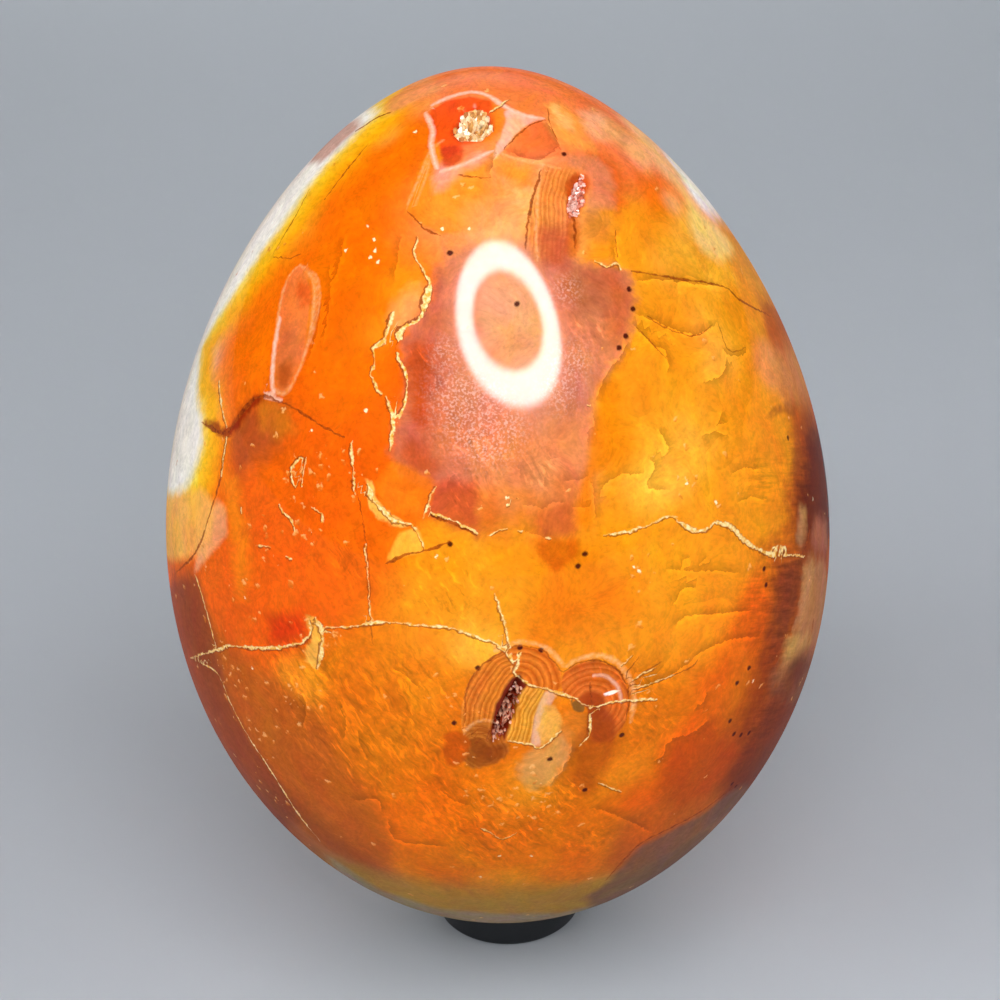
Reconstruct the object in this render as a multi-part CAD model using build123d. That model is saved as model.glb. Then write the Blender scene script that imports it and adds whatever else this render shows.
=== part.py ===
"""A polished agate egg that stands loose, blunt end down, in a small moulded ring.

Millimetres, +Z up. The origin is on the ground at the ring's centre, and the front faces -Y.
"""
from build123d import *
import math
import os

# Egg: its outline is a half ellipse that is made slimmer towards the tip
EGG_DIAMETER = 66.0
EGG_HEIGHT = 90.0
EGG_TAPER = 0.099  # how much slimmer the upper half is than the lower half
EGG_DRAW = 0.102  # how much both ends are drawn in
OUTLINE_SPANS = 12
OUTLINE_STEPS = 1000

# Crystal pockets: oval hollows in the stone, each placed by its drop below the tip
# and its turn about +Z from +X, and leaned anticlockwise from level as seen from outside
TOP_POCKET_DROP = 1.8
TOP_POCKET_TURN = -98.5
TOP_POCKET_LEAN = 80.0
TOP_POCKET_LENGTH = 4.4
TOP_POCKET_WIDTH = 3.7
TOP_POCKET_DEPTH = 2.2

SIDE_POCKET_DROP = 7.0
SIDE_POCKET_TURN = -57.8
SIDE_POCKET_LEAN = 48.0
SIDE_POCKET_LENGTH = 4.8
SIDE_POCKET_WIDTH = 1.5
SIDE_POCKET_DEPTH = 1.2

FISSURE_DROP = 47.3
FISSURE_TURN = -89.4
FISSURE_LEAN = 69.0
FISSURE_LENGTH = 7.6
FISSURE_WIDTH = 1.7
FISSURE_DEPTH = 1.5

POCKET_FLOOR = 0.55  # share of a pocket's mouth that is left at its floor
POCKET_OVERCUT = 0.6  # how far a cutter stands out of the stone

# Ring stand
RING_OUTER_DIAMETER = 15.5
RING_WALL = 3.0
RING_HEIGHT = 5.0
RING_EDGE_RADIUS = 0.5
BORE_EDGE_CHAMFER = 0.3
SEAT_RIM = 1.25  # flat rim left outside the dished seat
SEAT_CLEARANCE = 0.15


def outline(t):
    """Unscaled half width of the egg, where t runs from -1 at the blunt end to 1 at the tip."""
    return math.sqrt(1 - t * t) * (1 - EGG_TAPER * t - EGG_DRAW * t * t)


def outline_slope(t):
    """How fast the unscaled half width grows with t."""
    root = math.sqrt(1 - t * t)
    swell = 1 - EGG_TAPER * t - EGG_DRAW * t * t
    return -t / root * swell - root * (EGG_TAPER + 2 * EGG_DRAW * t)


STATIONS = [step / OUTLINE_STEPS for step in range(-OUTLINE_STEPS, OUTLINE_STEPS + 1)]
WIDEST = max(STATIONS, key=outline)
WIDTH_SCALE = EGG_DIAMETER / 2 / outline(WIDEST)


def rise_of_blunt_end(radius):
    """How far above the egg's lowest point its lower half has this radius, by halving."""
    low = -1.0
    high = WIDEST
    while high - low > 1e-9:
        middle = (low + high) / 2
        if WIDTH_SCALE * outline(middle) < radius:
            low = middle
        else:
            high = middle
    return (low + 1) * EGG_HEIGHT / 2


# Sizes that follow from those above
RING_RADIUS = RING_OUTER_DIAMETER / 2
BORE_RADIUS = RING_RADIUS - RING_WALL
SEAT_RADIUS = RING_RADIUS - SEAT_RIM
EGG_BASE = RING_HEIGHT - rise_of_blunt_end(SEAT_RADIUS) + SEAT_CLEARANCE


def outline_curve(lowest, highest, start_heading, end_heading):
    """A smooth curve through the egg's outline between two stations, in the XZ plane."""
    low = math.asin(lowest)
    high = math.asin(highest)
    points = []
    for span in range(OUTLINE_SPANS + 1):
        t = math.sin(low + (high - low) * span / OUTLINE_SPANS)
        points.append((WIDTH_SCALE * outline(t), 0, EGG_BASE + (t + 1) * EGG_HEIGHT / 2))
    return Spline(points, tangents=[start_heading, end_heading], tangent_scalars=[1, 1])


def plain_egg():
    """The egg before its pockets: its outline, joined at the widest point, turned about +Z."""
    lower_side = outline_curve(-1, WIDEST, (1, 0, 0), (0, 0, 1))
    upper_side = outline_curve(WIDEST, 1, (0, 0, 1), (-1, 0, 0))
    axis_line = Line(upper_side @ 1, lower_side @ 0)
    return revolve(make_face([lower_side, upper_side, axis_line]), Axis.Z)


def pocket_cutter(drop, turn, lean, length, width, depth):
    """A tapered oval plug, square to the egg's surface, that leaves one pocket."""
    t = 1 - 2 * drop / EGG_HEIGHT
    radius = WIDTH_SCALE * outline(t)
    slope = WIDTH_SCALE * outline_slope(t) / (EGG_HEIGHT / 2)
    cosine = math.cos(math.radians(turn))
    sine = math.sin(math.radians(turn))
    on_surface = Plane(
        origin=(radius * cosine, radius * sine, EGG_BASE + EGG_HEIGHT - drop),
        x_dir=(-sine, cosine, 0),
        z_dir=(cosine, sine, -slope),
    )
    mouth_growth = 1 + (1 - POCKET_FLOOR) * POCKET_OVERCUT / depth
    mouth = Ellipse(length / 2 * mouth_growth, width / 2 * mouth_growth, rotation=lean)
    floor = Ellipse(length / 2 * POCKET_FLOOR, width / 2 * POCKET_FLOOR, rotation=lean)
    above = on_surface * Pos(0, 0, POCKET_OVERCUT) * mouth
    below = on_surface * Pos(0, 0, -depth) * floor
    return loft([below, above])


def egg():
    """One piece of stone with its three crystal pockets."""
    stone = plain_egg()
    stone -= pocket_cutter(
        TOP_POCKET_DROP,
        TOP_POCKET_TURN,
        TOP_POCKET_LEAN,
        TOP_POCKET_LENGTH,
        TOP_POCKET_WIDTH,
        TOP_POCKET_DEPTH,
    )
    stone -= pocket_cutter(
        SIDE_POCKET_DROP,
        SIDE_POCKET_TURN,
        SIDE_POCKET_LEAN,
        SIDE_POCKET_LENGTH,
        SIDE_POCKET_WIDTH,
        SIDE_POCKET_DEPTH,
    )
    stone -= pocket_cutter(
        FISSURE_DROP,
        FISSURE_TURN,
        FISSURE_LEAN,
        FISSURE_LENGTH,
        FISSURE_WIDTH,
        FISSURE_DEPTH,
    )
    return stone


def ring_stand():
    """A turned ring with rounded outer edges and a seat dished to the egg's blunt end."""
    on_ground = (Align.CENTER, Align.CENTER, Align.MIN)
    ring = Cylinder(RING_RADIUS, RING_HEIGHT, align=on_ground)
    ring -= Cylinder(BORE_RADIUS, RING_HEIGHT, align=on_ground)
    circles = ring.edges().filter_by(GeomType.CIRCLE)
    outer_edges = [edge for edge in circles if edge.radius > SEAT_RADIUS]
    ring = fillet(outer_edges, min(RING_EDGE_RADIUS, SEAT_RIM / 2))
    bore_edges = ring.edges().filter_by(GeomType.CIRCLE).filter_by_position(Axis.Z, 0, 0)
    ring = chamfer(bore_edges.sort_by(SortBy.RADIUS)[0], BORE_EDGE_CHAMFER)
    return ring - Pos(0, 0, -SEAT_CLEARANCE) * plain_egg()


os.makedirs("parts", exist_ok=True)
export_step(egg(), "parts/egg.step")
export_step(ring_stand(), "parts/ring_stand.step")
print(f"egg's lowest point {EGG_BASE:.2f} mm above the ground, seat diameter {2 * SEAT_RADIUS:.2f} mm")
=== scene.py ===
# %% [markdown]
# A polished carnelian agate egg, standing blunt end down in a small black ring.
# The real object is two loose pieces. The stone is one lump, so all of its interest is in its surface:
# zones of colour, healed cracks, banded eyes and three pockets lined with crystals.
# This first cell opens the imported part, which fixes where everything is and how big it is.

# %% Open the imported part
import bpy
import numpy as np
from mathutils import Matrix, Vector


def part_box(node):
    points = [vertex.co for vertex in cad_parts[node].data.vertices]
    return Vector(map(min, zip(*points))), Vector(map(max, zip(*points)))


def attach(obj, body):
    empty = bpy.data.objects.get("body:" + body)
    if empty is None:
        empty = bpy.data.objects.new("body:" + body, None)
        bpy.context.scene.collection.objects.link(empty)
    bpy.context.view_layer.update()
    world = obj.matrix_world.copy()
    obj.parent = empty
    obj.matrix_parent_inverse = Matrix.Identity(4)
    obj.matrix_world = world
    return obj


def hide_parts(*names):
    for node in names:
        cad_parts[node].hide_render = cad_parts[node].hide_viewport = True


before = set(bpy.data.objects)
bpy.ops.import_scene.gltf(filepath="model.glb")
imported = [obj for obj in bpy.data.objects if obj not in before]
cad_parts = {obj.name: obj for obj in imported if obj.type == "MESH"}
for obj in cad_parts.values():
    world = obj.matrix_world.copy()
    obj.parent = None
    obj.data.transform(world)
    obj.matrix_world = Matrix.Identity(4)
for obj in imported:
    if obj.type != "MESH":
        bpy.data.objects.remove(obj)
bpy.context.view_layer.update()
MM = 0.001

# %% [markdown]
# The egg's outline is a half ellipse that is made slimmer towards the tip.
# It could be drawn by hand as a profile and spun, but the formula gives every point, its slope and its
# surface direction exactly, and the same formula later tells where a line of sight meets the stone.

# %% The egg's own formula
EGG_TAPER = 0.099
EGG_DRAW = 0.102
egg_low, egg_high = (np.array(corner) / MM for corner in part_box("egg"))
EGG_BASE = egg_low[2]
EGG_HEIGHT = egg_high[2] - egg_low[2]
EGG_DIAMETER = egg_high[0] - egg_low[0]


def plain_outline(t):
    """Half width, unscaled: the root of 1 - t squared, times 1 - taper t - draw t squared."""
    return np.sqrt(np.clip(1 - t * t, 0, 1)) * (1 - EGG_TAPER * t - EGG_DRAW * t * t)


WIDTH_SCALE = EGG_DIAMETER / 2 / plain_outline(np.linspace(-1, 1, 4001)).max()


def egg_radius(height):
    """The egg's radius in mm at a height above the ground, and 0 above the tip or below the base."""
    t = np.clip(2 * (height - EGG_BASE) / EGG_HEIGHT - 1, -1, 1)
    return WIDTH_SCALE * plain_outline(t)


def outward(points):
    """The direction square to the egg at each point: radial, less the outline's slope along +Z."""
    step = 0.01
    rise = (egg_radius(points[:, 2] + step) - egg_radius(points[:, 2] - step)) / (2 * step)
    radial = points[:, :2] / np.maximum(np.hypot(points[:, 0], points[:, 1]), 1e-6)[:, None]
    direction = np.column_stack([radial, -rise])
    return direction / np.linalg.norm(direction, axis=1)[:, None]


print(f"egg {EGG_DIAMETER:.2f} mm wide, {EGG_HEIGHT:.2f} mm high, {EGG_BASE:.2f} mm above the ground")

# %% [markdown]
# The camera stands where the photograph was taken from: 29 degrees above level and 240 mm away.
# It comes first, because the marks in the stone are placed along its lines of sight.

# %% Camera
CAMERA_RISE = np.radians(29.0)
CAMERA_ROLL = np.radians(-1.72)
CAMERA_DISTANCE = 240.0
CAMERA_ASIDE = 0.31
CAMERA_ABOVE = 0.85
SENSOR = 36.0
LENS = 86.6
PHOTO = 1000
FOCAL = LENS / SENSOR * PHOTO

egg_middle = np.array([0, 0, EGG_BASE + EGG_HEIGHT / 2])
back = np.array([0, -np.cos(CAMERA_RISE), np.sin(CAMERA_RISE)])
level_right = np.array([1.0, 0, 0])
level_up = np.array([0, np.sin(CAMERA_RISE), np.cos(CAMERA_RISE)])
eye = egg_middle + back * CAMERA_DISTANCE + level_right * CAMERA_ASIDE + level_up * CAMERA_ABOVE
right = level_right * np.cos(CAMERA_ROLL) + level_up * np.sin(CAMERA_ROLL)
up = level_up * np.cos(CAMERA_ROLL) - level_right * np.sin(CAMERA_ROLL)

camera_data = bpy.data.cameras.new("camera")
camera_data.lens = LENS
camera_data.sensor_width = SENSOR
camera_data.clip_start = 0.01
camera = bpy.data.objects.new("camera", camera_data)
pose = np.eye(4)
pose[:3, 0] = right
pose[:3, 1] = up
pose[:3, 2] = back
pose[:3, 3] = eye * MM
camera.matrix_world = pose.T.tolist()
bpy.context.scene.collection.objects.link(camera)
bpy.context.scene.camera = camera
bpy.context.scene.view_settings.view_transform = "Standard"
print("camera at", np.round(eye, 1), "mm")

# %% [markdown]
# A mark drawn at a pixel belongs where that pixel's line of sight first meets the stone.
# Going the other way tells which marks a point of the stone lies inside.
# Some marks run over the limb, the edge of the stone as seen. They are drawn past it, and what lies past the
# limb is folded back there onto the far side, so that every mark has one closed outline round the stone.

# %% Between pixels and the stone
SIGHT_STEPS = 900
LIMB_STEPS = 720
SKIN_STEPS = 500


def pixels_of(points):
    """The photo's pixel for each point: its place across and up the view over its depth."""
    away = points - eye
    depth = -away @ back
    across = PHOTO / 2 + FOCAL * (away @ right) / depth
    down = PHOTO / 2 - FOCAL * (away @ up) / depth
    return np.column_stack([across, down])


def limb_round(centre):
    """How far the limb is from a centre pixel, for equal steps of direction from -pi to pi."""
    height = np.linspace(EGG_BASE, EGG_BASE + EGG_HEIGHT, SKIN_STEPS)[:, None]
    turn = np.linspace(0, 2 * np.pi, SKIN_STEPS)
    radius = egg_radius(height)
    skin = [radius * np.cos(turn), radius * np.sin(turn), height + 0 * turn]
    away = pixels_of(np.stack(skin, axis=-1).reshape(-1, 3)) - centre
    step = (np.arctan2(away[:, 1], away[:, 0]) + np.pi) / (2 * np.pi) * LIMB_STEPS
    limb = np.zeros(LIMB_STEPS)
    np.maximum.at(limb, step.astype(int) % LIMB_STEPS, np.hypot(away[:, 0], away[:, 1]))
    return limb


middle_pixel = pixels_of(egg_middle[None])[0]
limb_far = limb_round(middle_pixel)
limb_ways = (np.arange(LIMB_STEPS) + 0.5) / LIMB_STEPS * 2 * np.pi - np.pi


def folded(pixels, over=None):
    """Pixels mirrored at the limb: those that lie beyond it, or those that are named."""
    away = pixels - middle_pixel
    reach = np.maximum(np.hypot(away[:, 0], away[:, 1]), 1e-6)
    limb = np.interp(np.arctan2(away[:, 1], away[:, 0]), limb_ways, limb_far, period=2 * np.pi)
    over = reach > limb if over is None else over
    scale = np.where(over, 2 * limb / reach - 1, 1)
    return middle_pixel + away * scale[:, None], over


def on_stone(pixels):
    """Where lines of sight meet the egg: on its near side, or on its far side for pixels beyond the limb."""
    pixels, beyond = folded(np.asarray(pixels, float))
    ways = (pixels[:, :1] - PHOTO / 2) / FOCAL * right + (PHOTO / 2 - pixels[:, 1:]) / FOCAL * up - back
    ways /= np.linalg.norm(ways, axis=1)[:, None]
    nearest_first = np.linspace(CAMERA_DISTANCE - EGG_HEIGHT, CAMERA_DISTANCE + 0.6 * EGG_HEIGHT, SIGHT_STEPS)
    reach = np.where(beyond[:, None], nearest_first[::-1], nearest_first)
    along = eye + ways[:, None, :] * reach[..., None]
    depth = egg_radius(along[..., 2]) - np.hypot(along[..., 0], along[..., 1])
    hit = (depth > 0).any(axis=1)
    first = np.where(hit, (depth > 0).argmax(axis=1), depth.argmax(axis=1))
    rows = np.arange(len(pixels))
    before = np.maximum(first - 1, 0)
    gain = depth[rows, first] - depth[rows, before]
    share = np.where(gain > 1e-9, -depth[rows, before] / np.maximum(gain, 1e-9), 0)
    return along[rows, before] + np.clip(share, 0, 1)[:, None] * (along[rows, first] - along[rows, before])


print("the egg's middle is at pixel", np.round(middle_pixel, 1))
print("its limb is", np.round(limb_far.min()), "to", np.round(limb_far.max()), "pixels from there")

# %% [markdown]
# The stone's surface is a grid: rows from the blunt end to the tip, columns round the axis.
# The columns are closer together at the front, where the eyes and the finest cracks are.
# The three crystal pockets are sunk into the same grid, so their rims stay part of one closed skin.

# %% Stone surface
EGG_ROWS = 229
EGG_COLUMNS = 420
FRONT_CROWDING = 0.35
ROW_CROWDING = 0.25

POCKETS = {
    "top": {"drop": 1.8, "turn": -98.5, "lean": 80.0, "length": 4.4, "width": 3.7, "depth": 2.2},
    "side": {"drop": 7.0, "turn": -57.8, "lean": 48.0, "length": 4.8, "width": 1.5, "depth": 1.2},
    "fissure": {"drop": 47.3, "turn": -89.4, "lean": 69.0, "length": 7.6, "width": 1.7, "depth": 1.5},
}
POCKET_FLOOR = 0.55

# Each row: how far a pocket's rim waves in and out, how many waves it has, and where they start
RIM_WAVES = ((0.10, 3, 0.7), (0.06, 7, 0.0))


def pocket_frame(pocket):
    """A pocket's place on the egg, the ways along and across its oval mouth, and the way out of it."""
    height = EGG_BASE + EGG_HEIGHT - pocket["drop"]
    turn = np.radians(pocket["turn"])
    lean = np.radians(pocket["lean"])
    radius = egg_radius(height)
    place = np.array([radius * np.cos(turn), radius * np.sin(turn), height])
    out = outward(place[None])[0]
    level = np.array([-np.sin(turn), np.cos(turn), 0])
    steep = np.cross(out, level)
    along = level * np.cos(lean) + steep * np.sin(lean)
    across = steep * np.cos(lean) - level * np.sin(lean)
    return place, along, across, out


def pocket_sink(points, pocket):
    """How deep each point sinks: full inside the floor's oval, nothing at the wavering mouth."""
    place, along, across, out = pocket_frame(pocket)
    away = points - place
    x = away @ along / (pocket["length"] / 2)
    y = away @ across / (pocket["width"] / 2)
    angle = np.arctan2(y, x)
    waver = 1 + sum(height * np.sin(count * angle + start) for height, count, start in RIM_WAVES)
    share = np.clip((1 - np.hypot(x, y) / waver) / (1 - POCKET_FLOOR), 0, 1)
    near = np.abs(away @ out) < pocket["depth"] * 2
    return near * pocket["depth"] * share


def egg_grid():
    """Points (radius cos a, radius sin a, height): t is the sine of the row's angle, a the column's turn."""
    rise = np.linspace(-np.pi / 2, np.pi / 2, EGG_ROWS + 2)[1:-1]
    t = np.sin(rise - ROW_CROWDING / 2 * np.sin(2 * rise))
    step = np.linspace(-np.pi, np.pi, EGG_COLUMNS, endpoint=False)
    turn = -np.pi / 2 + step - FRONT_CROWDING * np.sin(step)
    radius = WIDTH_SCALE * plain_outline(t)
    height = EGG_BASE + (t + 1) * EGG_HEIGHT / 2
    x = radius[:, None] * np.cos(turn)
    y = radius[:, None] * np.sin(turn)
    z = np.repeat(height[:, None], EGG_COLUMNS, axis=1)
    return np.stack([x, y, z], axis=-1).reshape(-1, 3)


def wrapped_faces(rows, columns):
    """Four-cornered faces of a grid that closes on itself round its columns."""
    row, column = np.meshgrid(np.arange(rows - 1), np.arange(columns), indexing="ij")
    beside = (column + 1) % columns
    corners = [row * columns + column, row * columns + beside]
    corners += [(row + 1) * columns + beside, (row + 1) * columns + column]
    return np.stack(corners, axis=-1).reshape(-1, 4)


def pole_faces(columns, first, pole, upwards):
    """Three-cornered faces from one ring of the grid to a single pole point."""
    ring = first + np.arange(columns)
    beside = first + (np.arange(columns) + 1) % columns
    pair = [ring, beside] if upwards else [beside, ring]
    return np.stack(pair + [np.full(columns, pole)], axis=-1)


poles = np.array([[0, 0, EGG_BASE], [0, 0, EGG_BASE + EGG_HEIGHT]])
smooth_stone = np.vstack([egg_grid(), poles])
stone_out = outward(smooth_stone)
stone_out[-2:] = [[0, 0, -1], [0, 0, 1]]
sink = np.max([pocket_sink(smooth_stone, pocket) for pocket in POCKETS.values()], axis=0)
stone_points = smooth_stone - stone_out * sink[:, None]
bottom_pole = len(smooth_stone) - 2
stone_faces = wrapped_faces(EGG_ROWS, EGG_COLUMNS).tolist()
stone_faces += pole_faces(EGG_COLUMNS, 0, bottom_pole, False).tolist()
stone_faces += pole_faces(EGG_COLUMNS, (EGG_ROWS - 1) * EGG_COLUMNS, bottom_pole + 1, True).tolist()


def new_piece(name, points, faces, body):
    """Puts points in mm and faces into a smooth mesh object that rides on a body."""
    mesh = bpy.data.meshes.new(name)
    mesh.from_pydata((np.asarray(points) * MM).tolist(), [], faces)
    mesh.shade_smooth()
    piece = bpy.data.objects.new(name, mesh)
    bpy.context.scene.collection.objects.link(piece)
    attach(piece, body)
    return piece


stone = new_piece("agate_egg", stone_points, stone_faces, "egg")
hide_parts("egg")
print(len(stone_points), "points in the stone, deepest pocket", round(sink.max(), 2), "mm")

# %% [markdown]
# Every mark in the stone is stored on the mesh as a distance in millimetres: one attribute for each patch,
# and for each group of lines one for the distance and one for the half width.
# A painted picture would blur when seen close, while a distance stays sharp between two points of the
# grid: the shader cuts it off at any width, and noise added to it makes the edge ragged.

# %% Distances to drawn marks
CURVE_STEPS = 5
SEARCH_MARGIN = 9.0
PATCH_BEND = 0.3


def drawn_curve(corners, closed, bend=1.0):
    """A curve through drawn points: cubic spans of equal steps, or straight ones where bend is 0."""
    points = np.asarray(corners, float)
    if closed:
        points = np.vstack([points[-1], points, points[:2]])
    else:
        points = np.vstack([2 * points[0] - points[1], points, 2 * points[-1] - points[-2]])
    s = np.linspace(0, 1, CURVE_STEPS, endpoint=False)[:, None]
    a, b, c, d = (part[:, None, :] for part in (points[:-3], points[1:-2], points[2:-1], points[3:]))
    bends = (2 * a - 5 * b + 4 * c - d) * s**2 + (3 * b - a - 3 * c + d) * s**3
    spans = b + bend * ((c - a) * s + bends) / 2 + (1 - bend) * (c - b) * s
    return np.vstack([spans.reshape(-1, 2), points[-2]])


def turned(points, degrees):
    """Points turned about +Z."""
    angle = np.radians(degrees)
    x = points[:, 0] * np.cos(angle) - points[:, 1] * np.sin(angle)
    y = points[:, 0] * np.sin(angle) + points[:, 1] * np.cos(angle)
    return np.column_stack([x, y, points[:, 2]])


def distance_along(pixels, turn=0.0):
    """Signed distance from the stone's points to a pixel path, and the share of the path passed there."""
    path = turned(on_stone(pixels), turn)
    low = path.min(axis=0) - SEARCH_MARGIN
    high = path.max(axis=0) + SEARCH_MARGIN
    near = np.flatnonzero(((smooth_stone > low) & (smooth_stone < high)).all(axis=1))
    places = smooth_stone[near]
    out = stone_out[near]
    best = np.full(len(near), SEARCH_MARGIN)
    side = np.ones(len(near))
    passed = np.zeros(len(near))
    for index in range(len(path) - 1):
        step = path[index + 1] - path[index]
        if step @ step < 1e-9:
            continue
        share = np.clip((places - path[index]) @ step / (step @ step), 0, 1)
        away = places - path[index] - share[:, None] * step
        distance = np.linalg.norm(away, axis=1)
        closer = distance < best
        best[closer] = distance[closer]
        side[closer] = np.sign(np.einsum("ij,ij->i", np.cross(step, away[closer]), out[closer]))
        passed[closer] = (index + share[closer]) / (len(path) - 1)
    distance = np.full(len(smooth_stone), SEARCH_MARGIN)
    distance[near] = best
    sides = np.ones(len(smooth_stone))
    sides[near] = np.where(side == 0, 1, side)
    shares = np.zeros(len(smooth_stone))
    shares[near] = passed
    return distance, sides, shares


def inside_outline(pixels, turn=0.0):
    """Which points of the stone lie inside a closed pixel outline, by counting crossings to one side."""
    places = turned(smooth_stone, -turn)
    hidden = np.einsum("ij,ij->i", eye - places, turned(stone_out, -turn)) < 0
    seen, _ = folded(pixels_of(places), hidden)
    x, y = seen[:, 0], seen[:, 1]
    inside = np.zeros(len(seen), bool)
    for (x0, y0), (x1, y1) in zip(pixels[:-1], pixels[1:]):
        if y0 != y1:
            crossing = (y0 > y) != (y1 > y)
            inside ^= crossing & (x < x0 + (y - y0) * (x1 - x0) / (y1 - y0))
    return inside


def patch_distance(outline, turn=0.0):
    """Distance to a closed outline, negative inside it."""
    pixels = drawn_curve(outline, closed=True, bend=PATCH_BEND)
    distance, _, _ = distance_along(pixels, turn)
    return np.where(inside_outline(pixels, turn), -distance, distance)


def keep(name, values):
    """Stores one number for each point of the stone."""
    attribute = stone.data.attributes.new(name, "FLOAT", "POINT")
    attribute.data.foreach_set("value", np.asarray(values, np.float32))


print("marks are kept on", len(smooth_stone), "points of the stone")

# %% [markdown]
# The ground colours run into each other. Each is a set of soft spots with a reach,
# and at each point the shares of all the colours add up to one.
# The photograph shows only the front, so the spots on the back are made up from the same colours.

# %% Ground colours
PALETTE = {
    "flame": "#F26C02",
    "coral": "#F27A3E",
    "peach": "#EE8E4A",
    "amber": "#EF9016",
    "honey": "#FDB43A",
    "ember": "#E95E08",
    "tangerine": "#E07208",
    "rust": "#BE5A14",
    "umber": "#7E3A1C",
    # olive: the foot's orange dulled by a painted reflection of the grey floor
    "olive": "#AC7A30",
    "cream": "#EBDCC0",
    # apricot: the stone's peach with a painted rim light, along the upper right edge
    "apricot": "#FFBC80",
}
FRONT_SPOTS = {
    "flame": [
        (360, 180, 70), (300, 260, 60), (250, 340, 45), (330, 300, 60), (390, 240, 50), (350, 380, 40),
        (236, 370, 28), (660, 190, 32), (450, 805, 45), (545, 835, 40), (430, 820, 30),
    ],
    "coral": [(490, 80, 45), (560, 105, 45), (425, 88, 26), (615, 150, 35), (600, 140, 40)],
    "peach": [
        (500, 190, 45), (465, 220, 40), (430, 215, 30), (535, 215, 35), (428, 98, 18), (765, 365, 16),
    ],
    "amber": [
        (650, 250, 45), (700, 300, 50), (640, 330, 45), (650, 400, 50), (740, 400, 45), (720, 520, 60),
        (640, 580, 60), (700, 620, 50), (480, 600, 45), (430, 590, 45), (590, 640, 30), (520, 560, 40),
        (745, 300, 20), (520, 800, 30), (420, 695, 30), (300, 680, 22), (410, 640, 25), (625, 775, 22),
        (500, 876, 20), (375, 335, 15), (402, 282, 20),
    ],
    "honey": [
        (685, 450, 38), (720, 360, 25), (690, 230, 25), (655, 490, 22), (470, 640, 25), (298, 228, 26),
        (385, 136, 13), (700, 315, 22), (662, 268, 20), (675, 255, 22),
    ],
    "ember": [
        (260, 460, 50), (240, 560, 50), (310, 560, 55), (300, 500, 50), (260, 620, 40), (400, 400, 35),
        (330, 430, 40), (370, 560, 35), (400, 480, 35), (690, 745, 30), (640, 790, 25), (570, 602, 28),
        (335, 335, 42), (650, 825, 20), (735, 650, 32), (718, 690, 28), (748, 608, 24),
    ],
    "tangerine": [
        (400, 660, 50), (380, 700, 50), (410, 740, 50), (450, 800, 50), (540, 830, 50), (600, 600, 40),
        (650, 700, 45), (480, 860, 40), (620, 780, 40), (430, 700, 40), (560, 600, 42), (620, 440, 20),
        (730, 690, 35),
    ],
    "rust": [
        (230, 690, 40), (290, 720, 40), (330, 800, 40), (190, 620, 30), (660, 820, 35), (720, 760, 30),
    ],
    "umber": [(815, 480, 30), (755, 770, 25), (785, 710, 26), (665, 868, 22)],
    # Olive at the foot is a painted reflection of the grey floor
    "olive": [(500, 912, 26)],
    "cream": [(190, 430, 20)],
    # Apricot along the upper right edge is a painted rim light over the stone's own peach
    "apricot": [
        (622, 140, 20), (600, 118, 15), (640, 160, 15), (672, 202, 13), (656, 148, 30), (678, 176, 32),
    ],
}
BACK_SPOTS = {
    "flame": [(60, 70, 12), (120, 55, 12), (20, 20, 10)],
    "coral": [(90, 84, 10), (150, 78, 9)],
    "peach": [(105, 72, 7), (50, 60, 7)],
    "amber": [(40, 45, 12), (80, 40, 13), (140, 30, 12), (170, 50, 10)],
    "honey": [(95, 50, 9), (70, 28, 8), (165, 70, 8)],
    "ember": [(150, 45, 10), (110, 25, 11), (185, 40, 9)],
    "tangerine": [(60, 15, 10), (125, 12, 11), (15, 35, 8)],
    "rust": [(90, 10, 9), (175, 20, 9), (5, 60, 7)],
    "umber": [(0, 40, 7), (35, 30, 6)],
    # Olive low down on every side is the painted reflection of the grey floor at the foot
    "olive": [(100, 5, 7), (-90, 3, 9), (-50, 4, 7), (-130, 4, 7)],
    "cream": [(180, 62, 8), (130, 66, 6)],
    "apricot": [(60, 80, 6)],
}
PIXELS_PER_MM = FOCAL / CAMERA_DISTANCE


def linear(colour):
    """An sRGB hex colour as linear red, green, blue and full opacity."""
    shown = np.array([int(colour[place:place + 2], 16) / 255 for place in (1, 3, 5)])
    light = np.where(shown <= 0.04045, shown / 12.92, ((shown + 0.055) / 1.055) ** 2.4)
    return (*light.tolist(), 1.0)


def cloud(size, seed, waves=20):
    """A smooth random field of about -1 to 1: the sum of sine waves of random ways, near one size in mm."""
    draw = np.random.default_rng(seed)
    ways = draw.normal(size=(waves, 3))
    ways /= np.linalg.norm(ways, axis=1)[:, None]
    ways *= 2 * np.pi / (size * draw.uniform(0.7, 1.7, (waves, 1)))
    return np.sin(smooth_stone @ ways.T + draw.uniform(0, 2 * np.pi, waves)).sum(axis=1) / np.sqrt(waves)


def spot_field(front_spots, back_spots):
    """The sum over soft spots of exp(-(distance / reach) squared).

    A front spot is placed by its pixel, and a back spot by its turn about +Z and its height.
    """
    front = np.array(front_spots, float)
    places = on_stone(front[:, :2])
    turn, height, reach = np.array(back_spots, float).T
    radius = egg_radius(height + EGG_BASE)
    turn = np.radians(turn)
    behind = np.column_stack([radius * np.cos(turn), radius * np.sin(turn), height + EGG_BASE])
    reaches = np.concatenate([front[:, 2] / PIXELS_PER_MM, reach])
    gaps = np.linalg.norm(smooth_stone[:, None, :] - np.vstack([places, behind]), axis=-1)
    return np.exp(-((gaps / reaches) ** 2)).sum(axis=1)


SHARE_NOISE = 0.09
SHARE_POWER = 1.5

# Each row: a cloud's size in mm and its weight
SHARE_CLOUDS = ((11, 1.0), (5, 0.7), (2.4, 0.4))


def uneven(index):
    """Clouds of three sizes added up, with seeds of their own for each colour."""
    return sum(weight * cloud(size, 3 * index + step) for step, (size, weight) in enumerate(SHARE_CLOUDS))


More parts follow.
